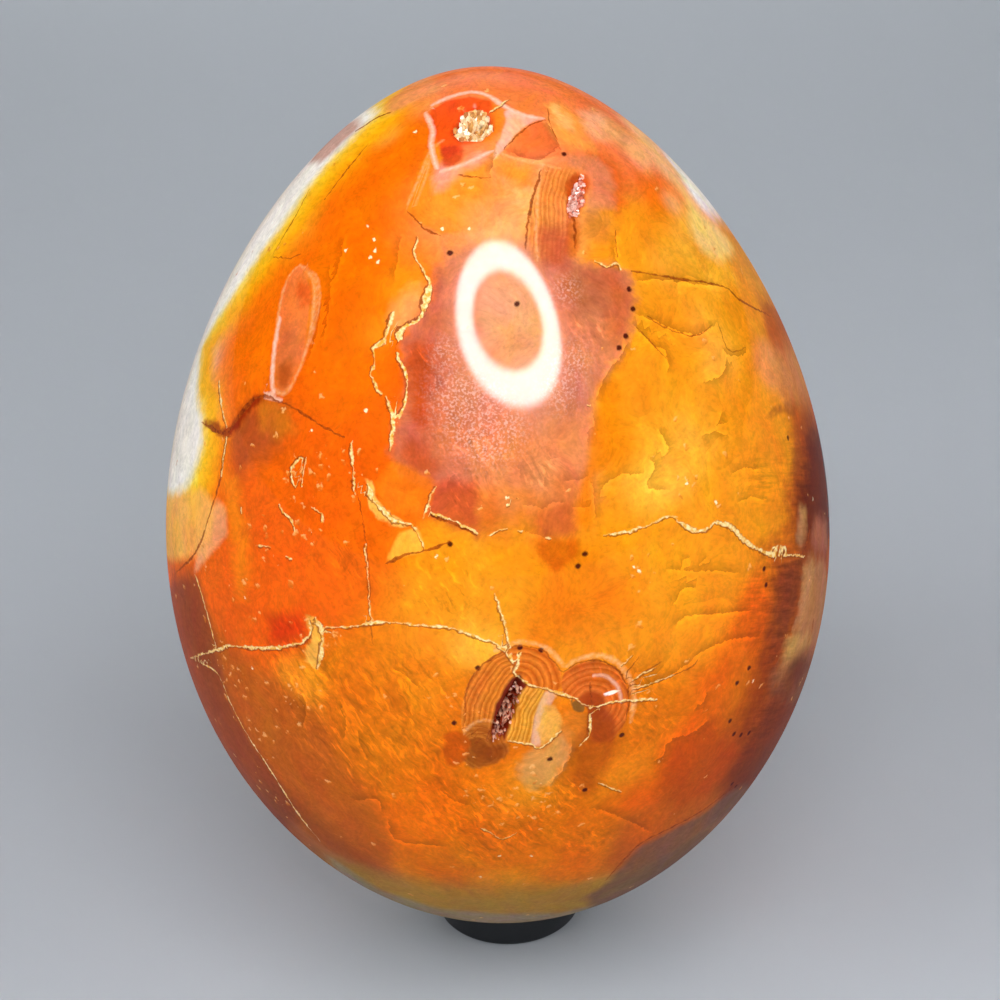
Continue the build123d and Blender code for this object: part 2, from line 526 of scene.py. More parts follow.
shares = np.array([spot_field(FRONT_SPOTS[name], BACK_SPOTS[name]) + 1e-4 for name in PALETTE])
shares /= shares.sum(axis=0)
roughness = np.array([uneven(index) for index in range(len(PALETTE))])
shares = np.clip(shares + SHARE_NOISE * roughness * np.sqrt(shares), 0, None) ** SHARE_POWER + 1e-6
shares /= shares.sum(axis=0)
ground = shares.T @ np.array([linear(colour) for colour in PALETTE.values()])
ground_attribute = stone.data.attributes.new("ground", "FLOAT_COLOR", "POINT")
ground_attribute.data.foreach_set("color", ground.astype(np.float32).ravel())
print(len(PALETTE), "ground colours")

# %% [markdown]
# The stone is not worked evenly all over: some areas break into petals, some have short bright strokes,
# grains, level streaks, or dusty specks with a painted sheen round the highlight. Each of these is again
# a set of soft spots, kept as one number.

# %% Areas with a texture of their own
AREAS = {
    "petals": (
        [
            (690, 320, 60), (650, 420, 60), (730, 450, 50), (700, 600, 60), (650, 640, 40),
            (640, 250, 40), (690, 690, 40),
        ],
        [(90, 50, 22), (40, 62, 15), (150, 40, 16)],
    ),
    "strokes": (
        [
            (330, 720, 60), (400, 750, 60), (420, 690, 45), (300, 660, 40), (460, 810, 35),
            (640, 690, 25), (650, 730, 25), (450, 590, 35), (350, 560, 30), (460, 435, 24),
            (485, 468, 22), (462, 500, 12), (420, 360, 14), (590, 330, 22), (520, 820, 40),
            (480, 850, 30), (570, 790, 25), (590, 840, 25), (610, 660, 20), (540, 470, 18),
        ],
        [(75, 25, 18), (140, 55, 14)],
    ),
    "grains": (
        [
            (300, 480, 20), (312, 520, 22), (264, 546, 18), (353, 470, 14), (330, 645, 14),
            (246, 690, 22), (262, 740, 20), (510, 785, 34), (447, 695, 18), (540, 812, 16),
            (640, 568, 16), (692, 480, 14), (245, 600, 18), (270, 790, 18), (230, 668, 22),
            (300, 700, 24), (312, 640, 14), (470, 740, 14), (330, 470, 20), (640, 700, 18),
            (560, 700, 10),
        ],
        [(100, 40, 5), (60, 30, 4), (160, 55, 5)],
    ),
    "streaks": (
        [
            (800, 470, 40), (790, 560, 40), (780, 640, 40), (765, 720, 40), (760, 600, 30),
            (760, 480, 25),
        ],
        [(20, 40, 12), (170, 30, 12)],
    ),
    # Dusty specks on the polish, with a painted sheen of the lamp round the highlight
    "dust_and_sheen": (
        [
            (456, 395, 22), (472, 418, 26), (500, 428, 22), (446, 352, 12), (566, 290, 12),
            (572, 360, 16), (560, 392, 16), (482, 442, 18),
        ],
        [(115, 70, 7)],
    ),
}
for name, (front_spots, back_spots) in AREAS.items():
    keep("area_" + name, np.clip(spot_field(front_spots, back_spots), 0, 1))
print(len(AREAS), "areas with a texture of their own")

# %% [markdown]
# Patches have an edge: the salmon heart, the lens, the red halo round the top pocket, the dark right edge
# and the sectors of the banded eyes. Each is an outline with a colour, a softness and a raggedness in mm,
# and how much of the ground it hides. A later patch lies over an earlier one. The back of the stone is
# not seen, so a few patches are turned round to it. Some patches are painted light and shade: a sheen
# inside the mirrored ring lamp, a rim light at the upper right, and the grey floor's reflection and shade at
# the foot.

# %% Patches
PATCHES = {
    "crown_left": ("#EC9254", 1.8, 0.6, 0.85, [
        (384, 106), (396, 95), (412, 84), (432, 74), (440, 90), (422, 99), (404, 107), (390, 114),
    ]),
    "milk_blush": ("#B8664A", 1.6, 0.5, 0.7, [
        (312, 160), (326, 144), (344, 127), (358, 118), (361, 126), (346, 139), (331, 154), (320, 163),
    ]),
    "peach_between": ("#F0A05C", 2.0, 0.8, 0.7, [
        (398, 300), (420, 284), (424, 305), (412, 325), (396, 330), (390, 318),
    ]),
    "red_arc": ("#DE5A16", 2.2, 0.8, 0.75, [
        (586, 150), (602, 154), (618, 166), (627, 186), (626, 210), (616, 216), (608, 200), (604, 180),
        (594, 166),
    ]),
    "mauve_haze": ("#D07C54", 1.2, 0.6, 0.7, [
        (562, 160), (580, 154), (598, 158), (610, 170), (615, 190), (612, 208), (598, 212), (588, 214),
        (586, 200), (592, 186), (588, 174), (575, 168),
    ]),
    "moss_side": ("#C07430", 1.6, 0.8, 0.6, [
        (583, 212), (612, 210), (614, 236), (600, 240), (585, 238),
    ]),
    "heart_foot": ("#C86628", 3.6, 1.0, 0.8, [
        (436, 470), (500, 465), (592, 455), (594, 512), (590, 528), (560, 537), (520, 531), (480, 536),
        (451, 523), (431, 508),
    ]),
    "salmon_heart": ("#C46E4E", 1.5, 1.0, 0.88, [
        (449, 251), (438, 273), (429, 302), (420, 318), (401, 338), (404, 362), (409, 387), (398, 420),
        (391, 458), (409, 476), (431, 487), (470, 488), (520, 486), (575, 480), (591, 470), (590, 434),
        (596, 404), (606, 376), (620, 356), (632, 327), (635, 293), (629, 273), (613, 264), (593, 264),
        (570, 258), (555, 245), (543, 228), (530, 238), (505, 242), (475, 243),
    ]),
    # A painted sheen: the haze of the mirrored ring lamp, lighter inside the ring
    "sheen_inside_ring": ("#E09A68", 2.0, 0.6, 0.7, [
        (510, 262), (532, 285), (545, 320), (545, 355), (530, 376), (505, 372), (484, 345), (476, 310),
        (484, 275),
    ]),
    "salmon_left": ("#BC5A42", 2.8, 0.9, 0.8, [
        (438, 275), (424, 320), (408, 345), (412, 385), (400, 440), (420, 474), (434, 470), (442, 430),
        (442, 380), (448, 310),
    ]),
    "heart_edge": ("#BA4414", 1.4, 0.8, 0.85, [
        (407, 348), (418, 342), (430, 346), (431, 372), (428, 398), (426, 424), (414, 424), (410, 404),
        (410, 385), (405, 364),
    ]),
    "heart_hollow": ("#BC4A1A", 2.2, 0.8, 0.75, [
        (402, 446), (412, 440), (426, 450), (438, 468), (430, 478), (414, 474), (398, 460),
    ]),
    "heart_right": ("#C4562A", 2.2, 0.8, 0.7, [
        (600, 270), (622, 272), (633, 295), (630, 325), (616, 346), (605, 332), (609, 300),
    ]),
    "heart_mauve": ("#B66A52", 2.4, 0.6, 0.6, [
        (572, 376), (594, 372), (592, 400), (588, 428), (574, 430), (565, 405),
    ]),
    "salmon_below": ("#DA8048", 4.0, 1.0, 0.75, [
        (470, 440), (540, 430), (588, 415), (592, 500), (540, 500), (480, 510),
    ]),
    "salmon_toe": ("#BC4A2A", 1.2, 0.7, 0.8, [
        (436, 484), (447, 476), (462, 481), (476, 478), (479, 495), (477, 515), (479, 534), (460, 527),
        (440, 518), (427, 511), (431, 499),
    ]),
    "toe_side": ("#CC641C", 1.6, 0.6, 0.6, [
        (480, 490), (496, 488), (500, 512), (494, 531), (481, 534), (479, 514),
    ]),
    "orange_strip": ("#E67C0A", 1.1, 0.4, 0.85, [
        (598, 384), (622, 380), (618, 420), (613, 451), (604, 468), (593, 475), (594, 492), (594, 520),
        (587, 530), (578, 526), (575, 510), (577, 494), (583, 479), (588, 462), (590, 440), (595, 422),
    ]),
    "mauve_shadow": ("#AE5832", 1.8, 0.6, 0.75, [
        (560, 272), (590, 266), (609, 285), (606, 308), (584, 310), (561, 300),
    ]),
    "foot_block": ("#CC6A34", 1.6, 0.6, 0.65, [
        (549, 478), (562, 468), (575, 478), (576, 498), (566, 502), (549, 504),
    ]),
    "salmon_foot": ("#BC5426", 1.2, 0.7, 0.8, [
        (549, 505), (568, 503), (574, 515), (576, 532), (545, 536), (536, 525), (545, 511),
    ]),
    "ember_foot": ("#C25408", 0.8, 0.4, 0.8, [
        (537, 540), (579, 540), (575, 560), (556, 570), (540, 560),
    ]),
    "peach_panel": ("#F08616", 0.7, 0.4, 0.75, [
        (445, 139), (425, 155), (413, 185), (406, 210), (418, 222), (440, 235), (470, 232), (498, 229),
        (505, 195), (495, 160), (470, 168),
    ]),
    "red_halo": ("#EC4A12", 0.5, 0.3, 0.9, [
        (429, 112), (447, 101), (469, 97), (490, 101), (500, 112), (500, 130), (485, 141), (465, 147),
        (448, 160), (440, 150), (433, 130),
    ]),
    "halo_right": ("#F08020", 0.9, 0.3, 0.85, [
        (494, 104), (504, 110), (506, 120), (498, 134), (490, 142), (478, 143), (488, 132), (494, 122),
        (491, 112),
    ]),
    "halo_low": ("#E8764A", 1.0, 0.4, 0.7, [
        (462, 146), (480, 143), (492, 146), (490, 156), (474, 160), (464, 158),
    ]),
    "lilac_glow": ("#EC9484", 1.4, 0.5, 0.75, [
        (441, 164), (452, 168), (470, 158), (484, 152), (478, 164), (462, 172), (448, 186), (436, 190),
        (433, 176),
    ]),
    "halo_shadow": ("#C63A1A", 0.6, 0.3, 0.85, [
        (441, 147), (455, 145), (464, 150), (462, 160), (450, 167), (443, 165),
    ]),
    "panel_glow": ("#F4A062", 3.0, 0.8, 0.6, [
        (470, 205), (505, 195), (530, 215), (525, 240), (490, 240), (465, 232),
    ]),
    "panel_side": ("#E8804E", 2.0, 0.6, 0.65, [
        (492, 160), (500, 176), (504, 205), (494, 215), (488, 190),
    ]),
    "orange_block": ("#F08416", 1.4, 0.6, 0.75, [
        (499, 160), (515, 163), (532, 168), (532, 184), (518, 184), (502, 178),
    ]),
    "pink_wedge": ("#F6B09A", 0.35, 0.15, 0.9, [
        (509, 110), (524, 115), (543, 119), (532, 122), (519, 131), (508, 143), (501, 153), (494, 159),
        (494, 150), (502, 135), (506, 121), (504, 113),
    ]),
    "coral_block": ("#F06C34", 0.3, 0.15, 0.85, [
        (501, 153), (507, 148), (517, 136), (526, 128), (539, 121), (545, 124), (551, 137), (562, 148),
        (559, 155), (546, 159), (528, 159),
    ]),
    "amber_fan": ("#FCA63C", 2.0, 0.9, 0.8, [
        (548, 106), (555, 103), (568, 108), (584, 124), (588, 139), (593, 148), (584, 150), (570, 146),
        (559, 137), (550, 124),
    ]),
    "fan_tip": ("#FBC070", 1.6, 1.2, 0.6, [
        (550, 108), (556, 106), (568, 116), (572, 128), (560, 126), (553, 118),
    ]),
    # A painted rim light: lighter peach along the upper right edge, over the stone's own peach
    "apricot_rim_light": ("#FBB47E", 1.8, 0.6, 0.7, [
        (580, 113), (592, 112), (606, 122), (618, 136), (612, 142), (596, 140), (586, 130),
    ]),
    "pale_hatch": ("#F8C480", 1.0, 1.4, 0.35, [
        (508, 197), (520, 193), (545, 190), (543, 214), (531, 216), (522, 207),
    ]),
    "lens": ("#EE7A38", 0.4, 0.15, 0.9, [
        (300, 264), (282, 291), (275, 340), (273, 380), (284, 394), (306, 351), (317, 313), (318, 280),
    ]),
    "lens_foot": ("#CC6634", 1.6, 0.5, 0.8, [
        (282, 330), (298, 326), (302, 352), (285, 386), (277, 378), (277, 350),
    ]),
    "lens_toe": ("#AE4814", 1.2, 0.5, 0.75, [
        (279, 366), (294, 362), (289, 382), (282, 389), (276, 380),
    ]),
    "lens_side": ("#EC7C18", 0.5, 0.2, 0.85, [
        (303, 268), (316, 282), (315, 313), (305, 349), (308, 318), (311, 292),
    ]),
    "lens_spark": ("#E24A12", 1.2, 0.7, 0.7, [
        (300, 278), (311, 284), (313, 303), (303, 306), (297, 294),
    ]),
    "crack_shadow": ("#A04A20", 3.0, 0.8, 0.75, [
        (228, 433), (244, 411), (262, 399), (280, 401), (292, 420), (282, 446), (258, 462), (236, 478),
    ]),
    "olive_facet": ("#E07E18", 1.8, 0.8, 0.5, [
        (257, 403), (274, 402), (290, 413), (299, 428), (280, 438), (262, 430),
    ]),
    "crack_red": ("#861206", 0.7, 0.5, 0.8, [
        (203, 421), (214, 419), (222, 427), (230, 427), (242, 409), (256, 395), (266, 396), (257, 405),
        (246, 417), (234, 435), (222, 437), (212, 430),
    ]),
    "orange_triangle": ("#EE7412", 0.7, 0.4, 0.8, [
        (391, 460), (434, 480), (425, 514), (384, 514), (375, 490),
    ]),
    "honey_chip": ("#FFB040", 0.4, 0.2, 0.75, [
        (400, 533), (418, 528), (424, 551), (404, 556), (386, 562),
    ]),
    "gold_chip": ("#F0B452", 0.3, 0.6, 0.85, [
        (366, 480), (372, 484), (378, 500), (390, 512), (404, 521), (418, 527), (395, 527), (378, 519),
        (367, 505),
    ]),
    "gold_chunk": ("#F8BC4C", 0.5, 0.8, 0.75, [
        (306, 617), (317, 621), (324, 643), (317, 670), (306, 661), (310, 640),
    ]),
    "peach_chip": ("#F6AC72", 0.8, 0.3, 0.75, [
        (217, 500), (226, 509), (227, 534), (206, 560), (194, 573), (203, 532),
    ]),
    "amber_left": ("#FCB254", 1.4, 0.3, 0.9, [
        (150, 500), (175, 496), (200, 488), (214, 505), (210, 540), (196, 556), (172, 560), (150, 556),
    ]),
    "brown_left": ("#8C3C1E", 2.2, 0.7, 0.8, [
        (150, 585), (175, 578), (195, 574), (206, 603), (217, 650), (230, 702), (250, 740), (278, 780),
        (300, 815), (285, 835), (235, 790), (185, 720), (155, 650),
    ]),
    "amber_column": ("#F2860E", 2.4, 0.8, 0.7, [
        (222, 470), (236, 480), (248, 540), (246, 600), (236, 600), (230, 540),
    ]),
    "deep_red": ("#CE2C04", 2.2, 0.8, 0.85, [
        (268, 618), (300, 612), (308, 632), (290, 644), (268, 644),
    ]),
    "rust_right": ("#B8520C", 5.0, 2.0, 0.85, [
        (804, 410), (850, 405), (860, 560), (800, 700), (766, 700), (760, 660), (772, 620), (772, 570),
        (770, 548), (784, 520), (786, 480), (796, 455), (792, 420),
    ]),
    "rust_side": ("#B04C08", 7.0, 1.6, 0.75, [
        (766, 560), (756, 620), (742, 680), (722, 730), (740, 772), (790, 720), (815, 640), (800, 560),
    ]),
    "umber_right": ("#641E06", 5.0, 1.6, 0.95, [
        (806, 425), (850, 410), (860, 480), (850, 557), (812, 552), (800, 540), (796, 515), (796, 490),
        (804, 465),
    ]),
    "umber_gap": ("#7E3416", 4.0, 1.4, 0.9, [
        (782, 560), (806, 556), (800, 606), (788, 636), (778, 662), (768, 660), (772, 600),
    ]),
    "tan_right": ("#B67444", 1.8, 1.4, 0.95, [
        (808, 559), (800, 606), (790, 644), (774, 675), (775, 694), (794, 701), (840, 700), (850, 570),
    ]),
    "tan_strip": ("#C08A58", 1.4, 0.8, 0.75, [
        (800, 506), (806, 510), (806, 536), (800, 544), (796, 536), (799, 520),
    ]),
    "pink_lens": ("#B8684C", 2.4, 0.8, 0.8, [
        (815, 518), (826, 522), (828, 552), (818, 552), (812, 540),
    ]),
    "tan_edge": ("#B88452", 1.6, 0.6, 0.8, [
        (802, 660), (810, 662), (806, 684), (796, 702), (786, 704), (792, 690),
    ]),
    "tan_streak": ("#B0764C", 1.6, 0.6, 0.6, [(769, 672), (777, 668), (776, 690), (771, 696)]),
    "tan_bright": ("#C88A54", 2.0, 0.8, 0.7, [
        (806, 564), (814, 570), (810, 600), (802, 626), (798, 622), (802, 592),
    ]),
    "moss_right": ("#5A4222", 2.0, 1.2, 0.8, [
        (792, 658), (804, 652), (806, 668), (798, 684), (788, 680),
    ]),
    "pale_right": ("#CE9650", 2.0, 1.2, 0.8, [
        (782, 656), (788, 640), (802, 634), (812, 640), (802, 652), (790, 660),
    ]),
    "dark_mark": ("#A85416", 0.7, 0.5, 0.8, [
        (766, 420), (774, 408), (786, 402), (798, 404), (794, 416), (780, 412),
    ]),
    "rust_low": ("#86300A", 4.0, 1.0, 0.7, [
        (772, 636), (782, 656), (772, 690), (752, 728), (730, 756), (738, 724), (752, 690), (760, 660),
    ]),
    "umber_low": ("#742A10", 4.5, 0.8, 0.85, [
        (806, 650), (776, 680), (752, 726), (728, 766), (714, 792), (750, 800), (800, 740), (840, 650),
    ]),
    "white_right": ("#FBF2E6", 2.2, 0.5, 0.95, [
        (664, 152), (678, 172), (690, 192), (702, 208), (714, 220), (724, 226), (748, 224), (712, 160),
        (680, 134),
    ]),
    "amber_limb": ("#F09C26", 3.0, 0.6, 0.8, [
        (712, 214), (744, 226), (780, 292), (762, 300), (744, 280), (730, 256),
    ]),
    "tan_limb": ("#D88C4C", 3.4, 0.8, 0.7, [
        (768, 350), (800, 346), (824, 384), (804, 402), (782, 397), (772, 378),
    ]),
    "gold_right": ("#FBB030", 3.0, 0.8, 0.7, [
        (684, 246), (706, 256), (730, 264), (736, 280), (718, 294), (692, 284),
    ]),
    "honey_right": ("#FFD27C", 2.0, 0.6, 0.85, [
        (689, 200), (706, 218), (726, 236), (734, 250), (722, 262), (706, 254), (694, 238), (688, 220),
    ]),
    "eye_side": ("#E88C44", 0.9, 0.3, 0.85, [
        (545, 165), (574, 172), (568, 204), (571, 238), (562, 262), (537, 262), (528, 240), (531, 210),
        (538, 185),
    ]),
    "side_rim": ("#BE4410", 0.6, 0.2, 0.85, [
        (565, 184), (570, 177), (578, 173), (588, 177), (590, 186), (584, 196), (582, 207), (578, 217),
        (571, 222), (567, 213), (569, 202), (565, 193),
    ]),
    "side_shadow": ("#B24C2A", 2.0, 0.8, 0.8, [
        (538, 225), (566, 228), (572, 250), (566, 270), (540, 266),
    ]),
    "side_tail": ("#C4601C", 0.8, 0.5, 0.8, [
        (569, 222), (579, 218), (580, 238), (577, 254), (570, 256), (568, 240),
    ]),
    "eye_left": ("#D9741C", 0.25, 0.2, 1.0, [
        (461, 712), (465, 690), (475, 671), (491, 658), (508, 649), (515, 667), (530, 686), (545, 690),
        (547, 715), (545, 744), (530, 744), (505, 741), (490, 760), (470, 757), (462, 740),
    ]),
    "eye_yellow": ("#E9B858", 0.25, 0.15, 1.0, [
        (514, 690), (530, 687), (546, 691), (540, 712), (533, 744), (507, 741), (509, 716),
    ]),
    "eye_top": ("#E07A24", 0.25, 0.15, 1.0, [
        (509, 649), (521, 646), (541, 650), (552, 659), (562, 673), (560, 692), (544, 688), (530, 685),
        (515, 672),
    ]),
    "eye_right": ("#D86C28", 0.25, 0.15, 1.0, [
        (562, 674), (577, 664), (597, 660), (615, 668), (626, 683), (629, 702), (626, 722), (612, 741),
        (592, 741), (586, 722), (588, 708), (575, 700), (562, 694),
    ]),
    "brown_blob": ("#9C4C16", 0.5, 0.5, 0.95, [
        (464, 738), (466, 728), (474, 722), (484, 721), (489, 727), (491, 737), (500, 736), (509, 744),
        (505, 757), (490, 765), (472, 768), (462, 762), (470, 750),
    ]),
    "red_facet": ("#C04C04", 0.5, 0.5, 0.85, [
        (446, 734), (462, 732), (470, 742), (466, 756), (460, 767), (448, 764), (443, 750),
    ]),
    "blob_shade": ("#90400C", 1.2, 0.6, 0.85, [
        (472, 750), (490, 741), (507, 745), (503, 757), (488, 764), (468, 764),
    ]),
    "grey_tan": ("#D49A56", 1.2, 1.0, 0.65, [
        (533, 748), (541, 750), (553, 738), (566, 728), (571, 736), (570, 753), (562, 769), (547, 787),
        (530, 790), (518, 772),
    ]),
    "pink_band": ("#E6AC86", 0.3, 0.15, 0.9, [
        (546, 690), (556, 694), (545, 720), (541, 746), (531, 744), (535, 715),
    ]),
    "cream_wedge": ("#EEA848", 0.4, 0.3, 0.9, [
        (545, 705), (556, 705), (564, 725), (552, 738), (541, 747), (537, 730),
    ]),
    "orange_wedge": ("#D87A20", 0.5, 0.2, 0.7, [
        (560, 728), (565, 710), (574, 712), (588, 715), (588, 738), (575, 748), (566, 742),
    ]),
    "dark_block": ("#9E3C10", 0.7, 0.3, 0.85, [
        (590, 708), (606, 707), (616, 722), (612, 741), (592, 741),
    ]),
    "olive_wedge": ("#7A5220", 0.2, 0.1, 0.9, [(570, 698), (585, 706), (583, 713), (574, 711)]),
    "white_sliver": ("#FFF6E8", 0.12, 0.05, 0.95, [
        (603, 694), (613, 690), (621, 690), (612, 695), (604, 697),
    ]),
    "rust_below": ("#A84406", 1.8, 0.9, 0.65, [
        (588, 712), (610, 722), (618, 742), (604, 770), (596, 792), (580, 796), (570, 776), (578, 745),
    ]),
    "umber_rim": ("#74300A", 5.0, 0.8, 0.5, [
        (290, 790), (340, 834), (400, 876), (380, 905), (290, 850), (262, 790),
    ]),
    # The foot's orange dulled to olive by a painted reflection of the grey floor
    "olive_foot_reflection": ("#A8782A", 5.5, 0.8, 0.9, [
        (330, 866), (400, 878), (470, 884), (560, 884), (606, 880), (640, 900), (600, 940), (480, 950),
        (380, 940),
    ]),
    # A painted reflection of the grey floor along the foot
    "foot_floor_reflection": ("#8C7C66", 2.4, 0.4, 0.8, [
        (330, 858), (380, 890), (440, 909), (500, 914), (560, 913), (620, 899), (690, 868), (700, 900),
        (600, 950), (480, 955), (370, 940),
    ]),
    # Painted shade with a grey floor reflection along the lower right edge, below the dark seam
    "lower_edge_shade": ("#74503C", 1.8, 0.5, 0.85, [
        (740, 786), (703, 813), (670, 831), (641, 846), (624, 863), (606, 884), (585, 897), (600, 912),
        (650, 905), (700, 870), (760, 805),
    ]),
    "red_right": ("#B44408", 3.0, 1.2, 0.75, [
        (712, 716), (696, 732), (676, 742), (664, 756), (660, 790), (676, 812), (712, 790), (738, 750),
    ]),
}
BACK_COPIES = {
    "heart_foot": 168.0,
    "salmon_heart": 168.0,
    "salmon_left": 168.0,
    "lens": 262.0,
    "lens_spark": 262.0,
    "coral_block": 120.0,
    "crack_shadow": 250.0,
    "orange_strip": 130.0,
    "red_right": 105.0,
    "gold_chip": 205.0,
    "honey_chip": 205.0,
    "deep_red": 232.0,
    "grey_tan": 140.0,
    "olive_foot_reflection": 180.0,
}
for name, (_, _, _, _, outline) in PATCHES.items():
    distance = patch_distance(outline)
    if name in BACK_COPIES:
        distance = np.minimum(distance, patch_distance(outline, BACK_COPIES[name]))
    keep("patch_" + name, distance)
print(len(PATCHES), "patches,", len(BACK_COPIES), "of them on the back too")

# %% [markdown]
# Agate grows in layers from the wall of a hollow inwards, so each eye is a set of bands round its own centre.
# Only the distance to that centre is stored, and a row of colours in the shader turns it into bands.

# %% Banded eyes
FISSURE_LINE = [(518, 684), (512, 693), (503, 709), (500, 730), (497, 738)]
TOP_EYE_CENTRE = [(519, 682), (521, 686)]
RIGHT_EYE_CENTRE = [(590, 703), (592, 707)]
SMALL_EYE_CENTRE = [(477, 744), (484, 752)]
SIDE_POCKET_LINE = [(580, 178), (573, 204), (574, 232), (571, 258)]
EYE_CENTRES = {
    "left": FISSURE_LINE,
    "top": TOP_EYE_CENTRE,
    "right": RIGHT_EYE_CENTRE,
    "side": SIDE_POCKET_LINE,
    "small": SMALL_EYE_CENTRE,
}
for name, line in EYE_CENTRES.items():
    keep("eye_reach_" + name, distance_along(np.array(line, float))[0])
MILK = [
    (376, 114), (357, 132), (338, 152), (321, 170), (306, 189), (289, 215), (271, 239), (253, 264),
    (236, 290), (217, 319), (201, 349), (197, 398), (201, 413), (202, 442), (195, 469), (186, 489),
    (168, 498), (132, 500), (134, 430), (150, 345), (174, 280), (214, 205), (262, 140), (318, 96),
    (356, 96),
]
keep("milk", -patch_distance(MILK))

# How squarely each point faced the camera of the photograph, and below 0 on the side it did not see
to_eye = eye - smooth_stone
keep("facing", np.einsum("ij,ij->i", stone_out, to_eye) / np.linalg.norm(to_eye, axis=1))
print(len(EYE_CENTRES), "banded eyes and the milky edge")

# %% [markdown]
# Cracks in the stone healed with pale quartz, and others stayed open and dark.
# Each is a path with a half width in pixels that tapers to both ends.
# The side of the path is kept too, because a healed crack has a painted shadow on one side, a dark brown
# edge.
# The back of the stone is not seen, so the cracks halfway up the front are mirrored onto it.

# %% Veins and seams
VEINS = [
    (1.3, [
        (324, 627), (351, 627), (384, 622), (418, 625), (451, 628), (481, 639), (493, 642), (505, 652),
        (515, 667), (515, 674), (530, 685), (544, 688), (562, 694), (578, 700), (588, 707),
    ]),
    (1.0, [(588, 707), (599, 706), (613, 702), (635, 700), (660, 699)]),
    (1.0, [(494, 592), (508, 635), (509, 646), (515, 667)]),
    (1.0, [(522, 650), (515, 672)]),
    (1.0, [(590, 707), (590, 721), (588, 736), (576, 750)]),
    (1.0, [(600, 536), (631, 531), (655, 522), (669, 516), (680, 520)]),
    (2.2, [
        (672, 517), (692, 529), (704, 530), (716, 523), (730, 526), (740, 536), (751, 545), (763, 551),
        (777, 555), (806, 556),
    ]),
    (1.0, [(770, 549), (780, 546), (787, 551), (780, 557), (772, 554)]),
    (2.8, [(431, 280), (424, 305), (418, 320), (401, 330), (398, 346)]),
    (0.9, [(418, 236), (415, 254), (424, 270), (429, 281)]),
    (1.1, [(372, 376), (378, 390), (384, 394)]),
    (0.9, [(407, 385), (405, 402), (399, 420)]),
    (1.8, [(395, 309), (387, 331), (384, 342), (373, 349), (375, 362), (370, 376)]),
    (1.6, [(397, 347), (398, 358), (404, 369), (407, 385)]),
    (1.7, [(384, 393), (393, 418), (390, 456)]),
    (2.4, [(366, 480), (373, 499), (382, 509), (395, 521), (413, 525)]),
    (1.0, [(351, 438), (353, 474), (355, 498)]),
    (1.5, [(190, 658), (217, 650), (230, 646), (262, 648), (288, 646), (306, 639), (315, 621)]),
    (2.0, [(316, 616), (323, 640), (317, 670)]),
    (1.4, [(306, 640), (311, 630), (308, 618)]),
    (1.1, [(193, 659), (217, 673), (230, 702), (247, 734), (271, 771), (297, 812), (323, 845)]),
    (0.9, [(505, 741), (530, 744), (538, 748), (547, 743), (563, 728)]),
    (1.0, [(303, 455), (293, 466), (291, 478), (298, 491)]),
    (0.9, [(307, 452), (304, 472), (300, 490)]),
    (0.9, [(243, 504), (241, 510), (242, 516)]),
    (0.9, [(285, 556), (293, 560)]),
    (0.9, [(308, 533), (315, 533)]),
    (1.0, [(195, 574), (204, 603), (217, 650)]),
    (1.2, [(219, 380), (221, 402), (227, 429)]),
    (1.2, [(227, 434), (224, 454), (221, 480)]),
    (1.0, [(277, 502), (284, 512), (293, 523), (295, 534)]),
    (1.1, [(311, 507), (319, 511), (324, 520), (321, 524)]),
    (1.2, [(256, 545), (264, 546), (272, 549)]),
    (0.5, [(365, 540), (369, 590), (371, 621)]),
    (0.8, [(436, 483), (430, 500), (423, 516)]),
    (1.0, [(429, 512), (458, 523), (480, 535)]),
    (0.9, [(413, 525), (420, 538), (424, 551)]),
    (0.9, [(593, 260), (606, 266), (617, 264), (624, 274)]),
    (0.6, [(630, 682), (643, 674), (657, 667)]),
    (0.6, [(632, 690), (652, 683), (676, 674)]),
    (0.5, [(619, 668), (627, 660), (634, 652)]),
    (0.9, [(598, 783), (610, 787), (622, 793)]),
    (0.8, [(488, 113), (498, 107), (509, 99)]),
    (0.8, [(480, 828), (490, 832), (502, 839), (518, 832)]),
    (0.5, [(486, 537), (498, 531), (510, 527)]),
    (0.9, [(517, 530), (524, 532)]),
    (0.8, [(545, 538), (552, 538)]),
    (1.2, [(505, 505), (511, 505)]),
    (1.0, [(518, 497), (518, 503)]),
    (0.6, [(585, 405), (592, 406)]),
]
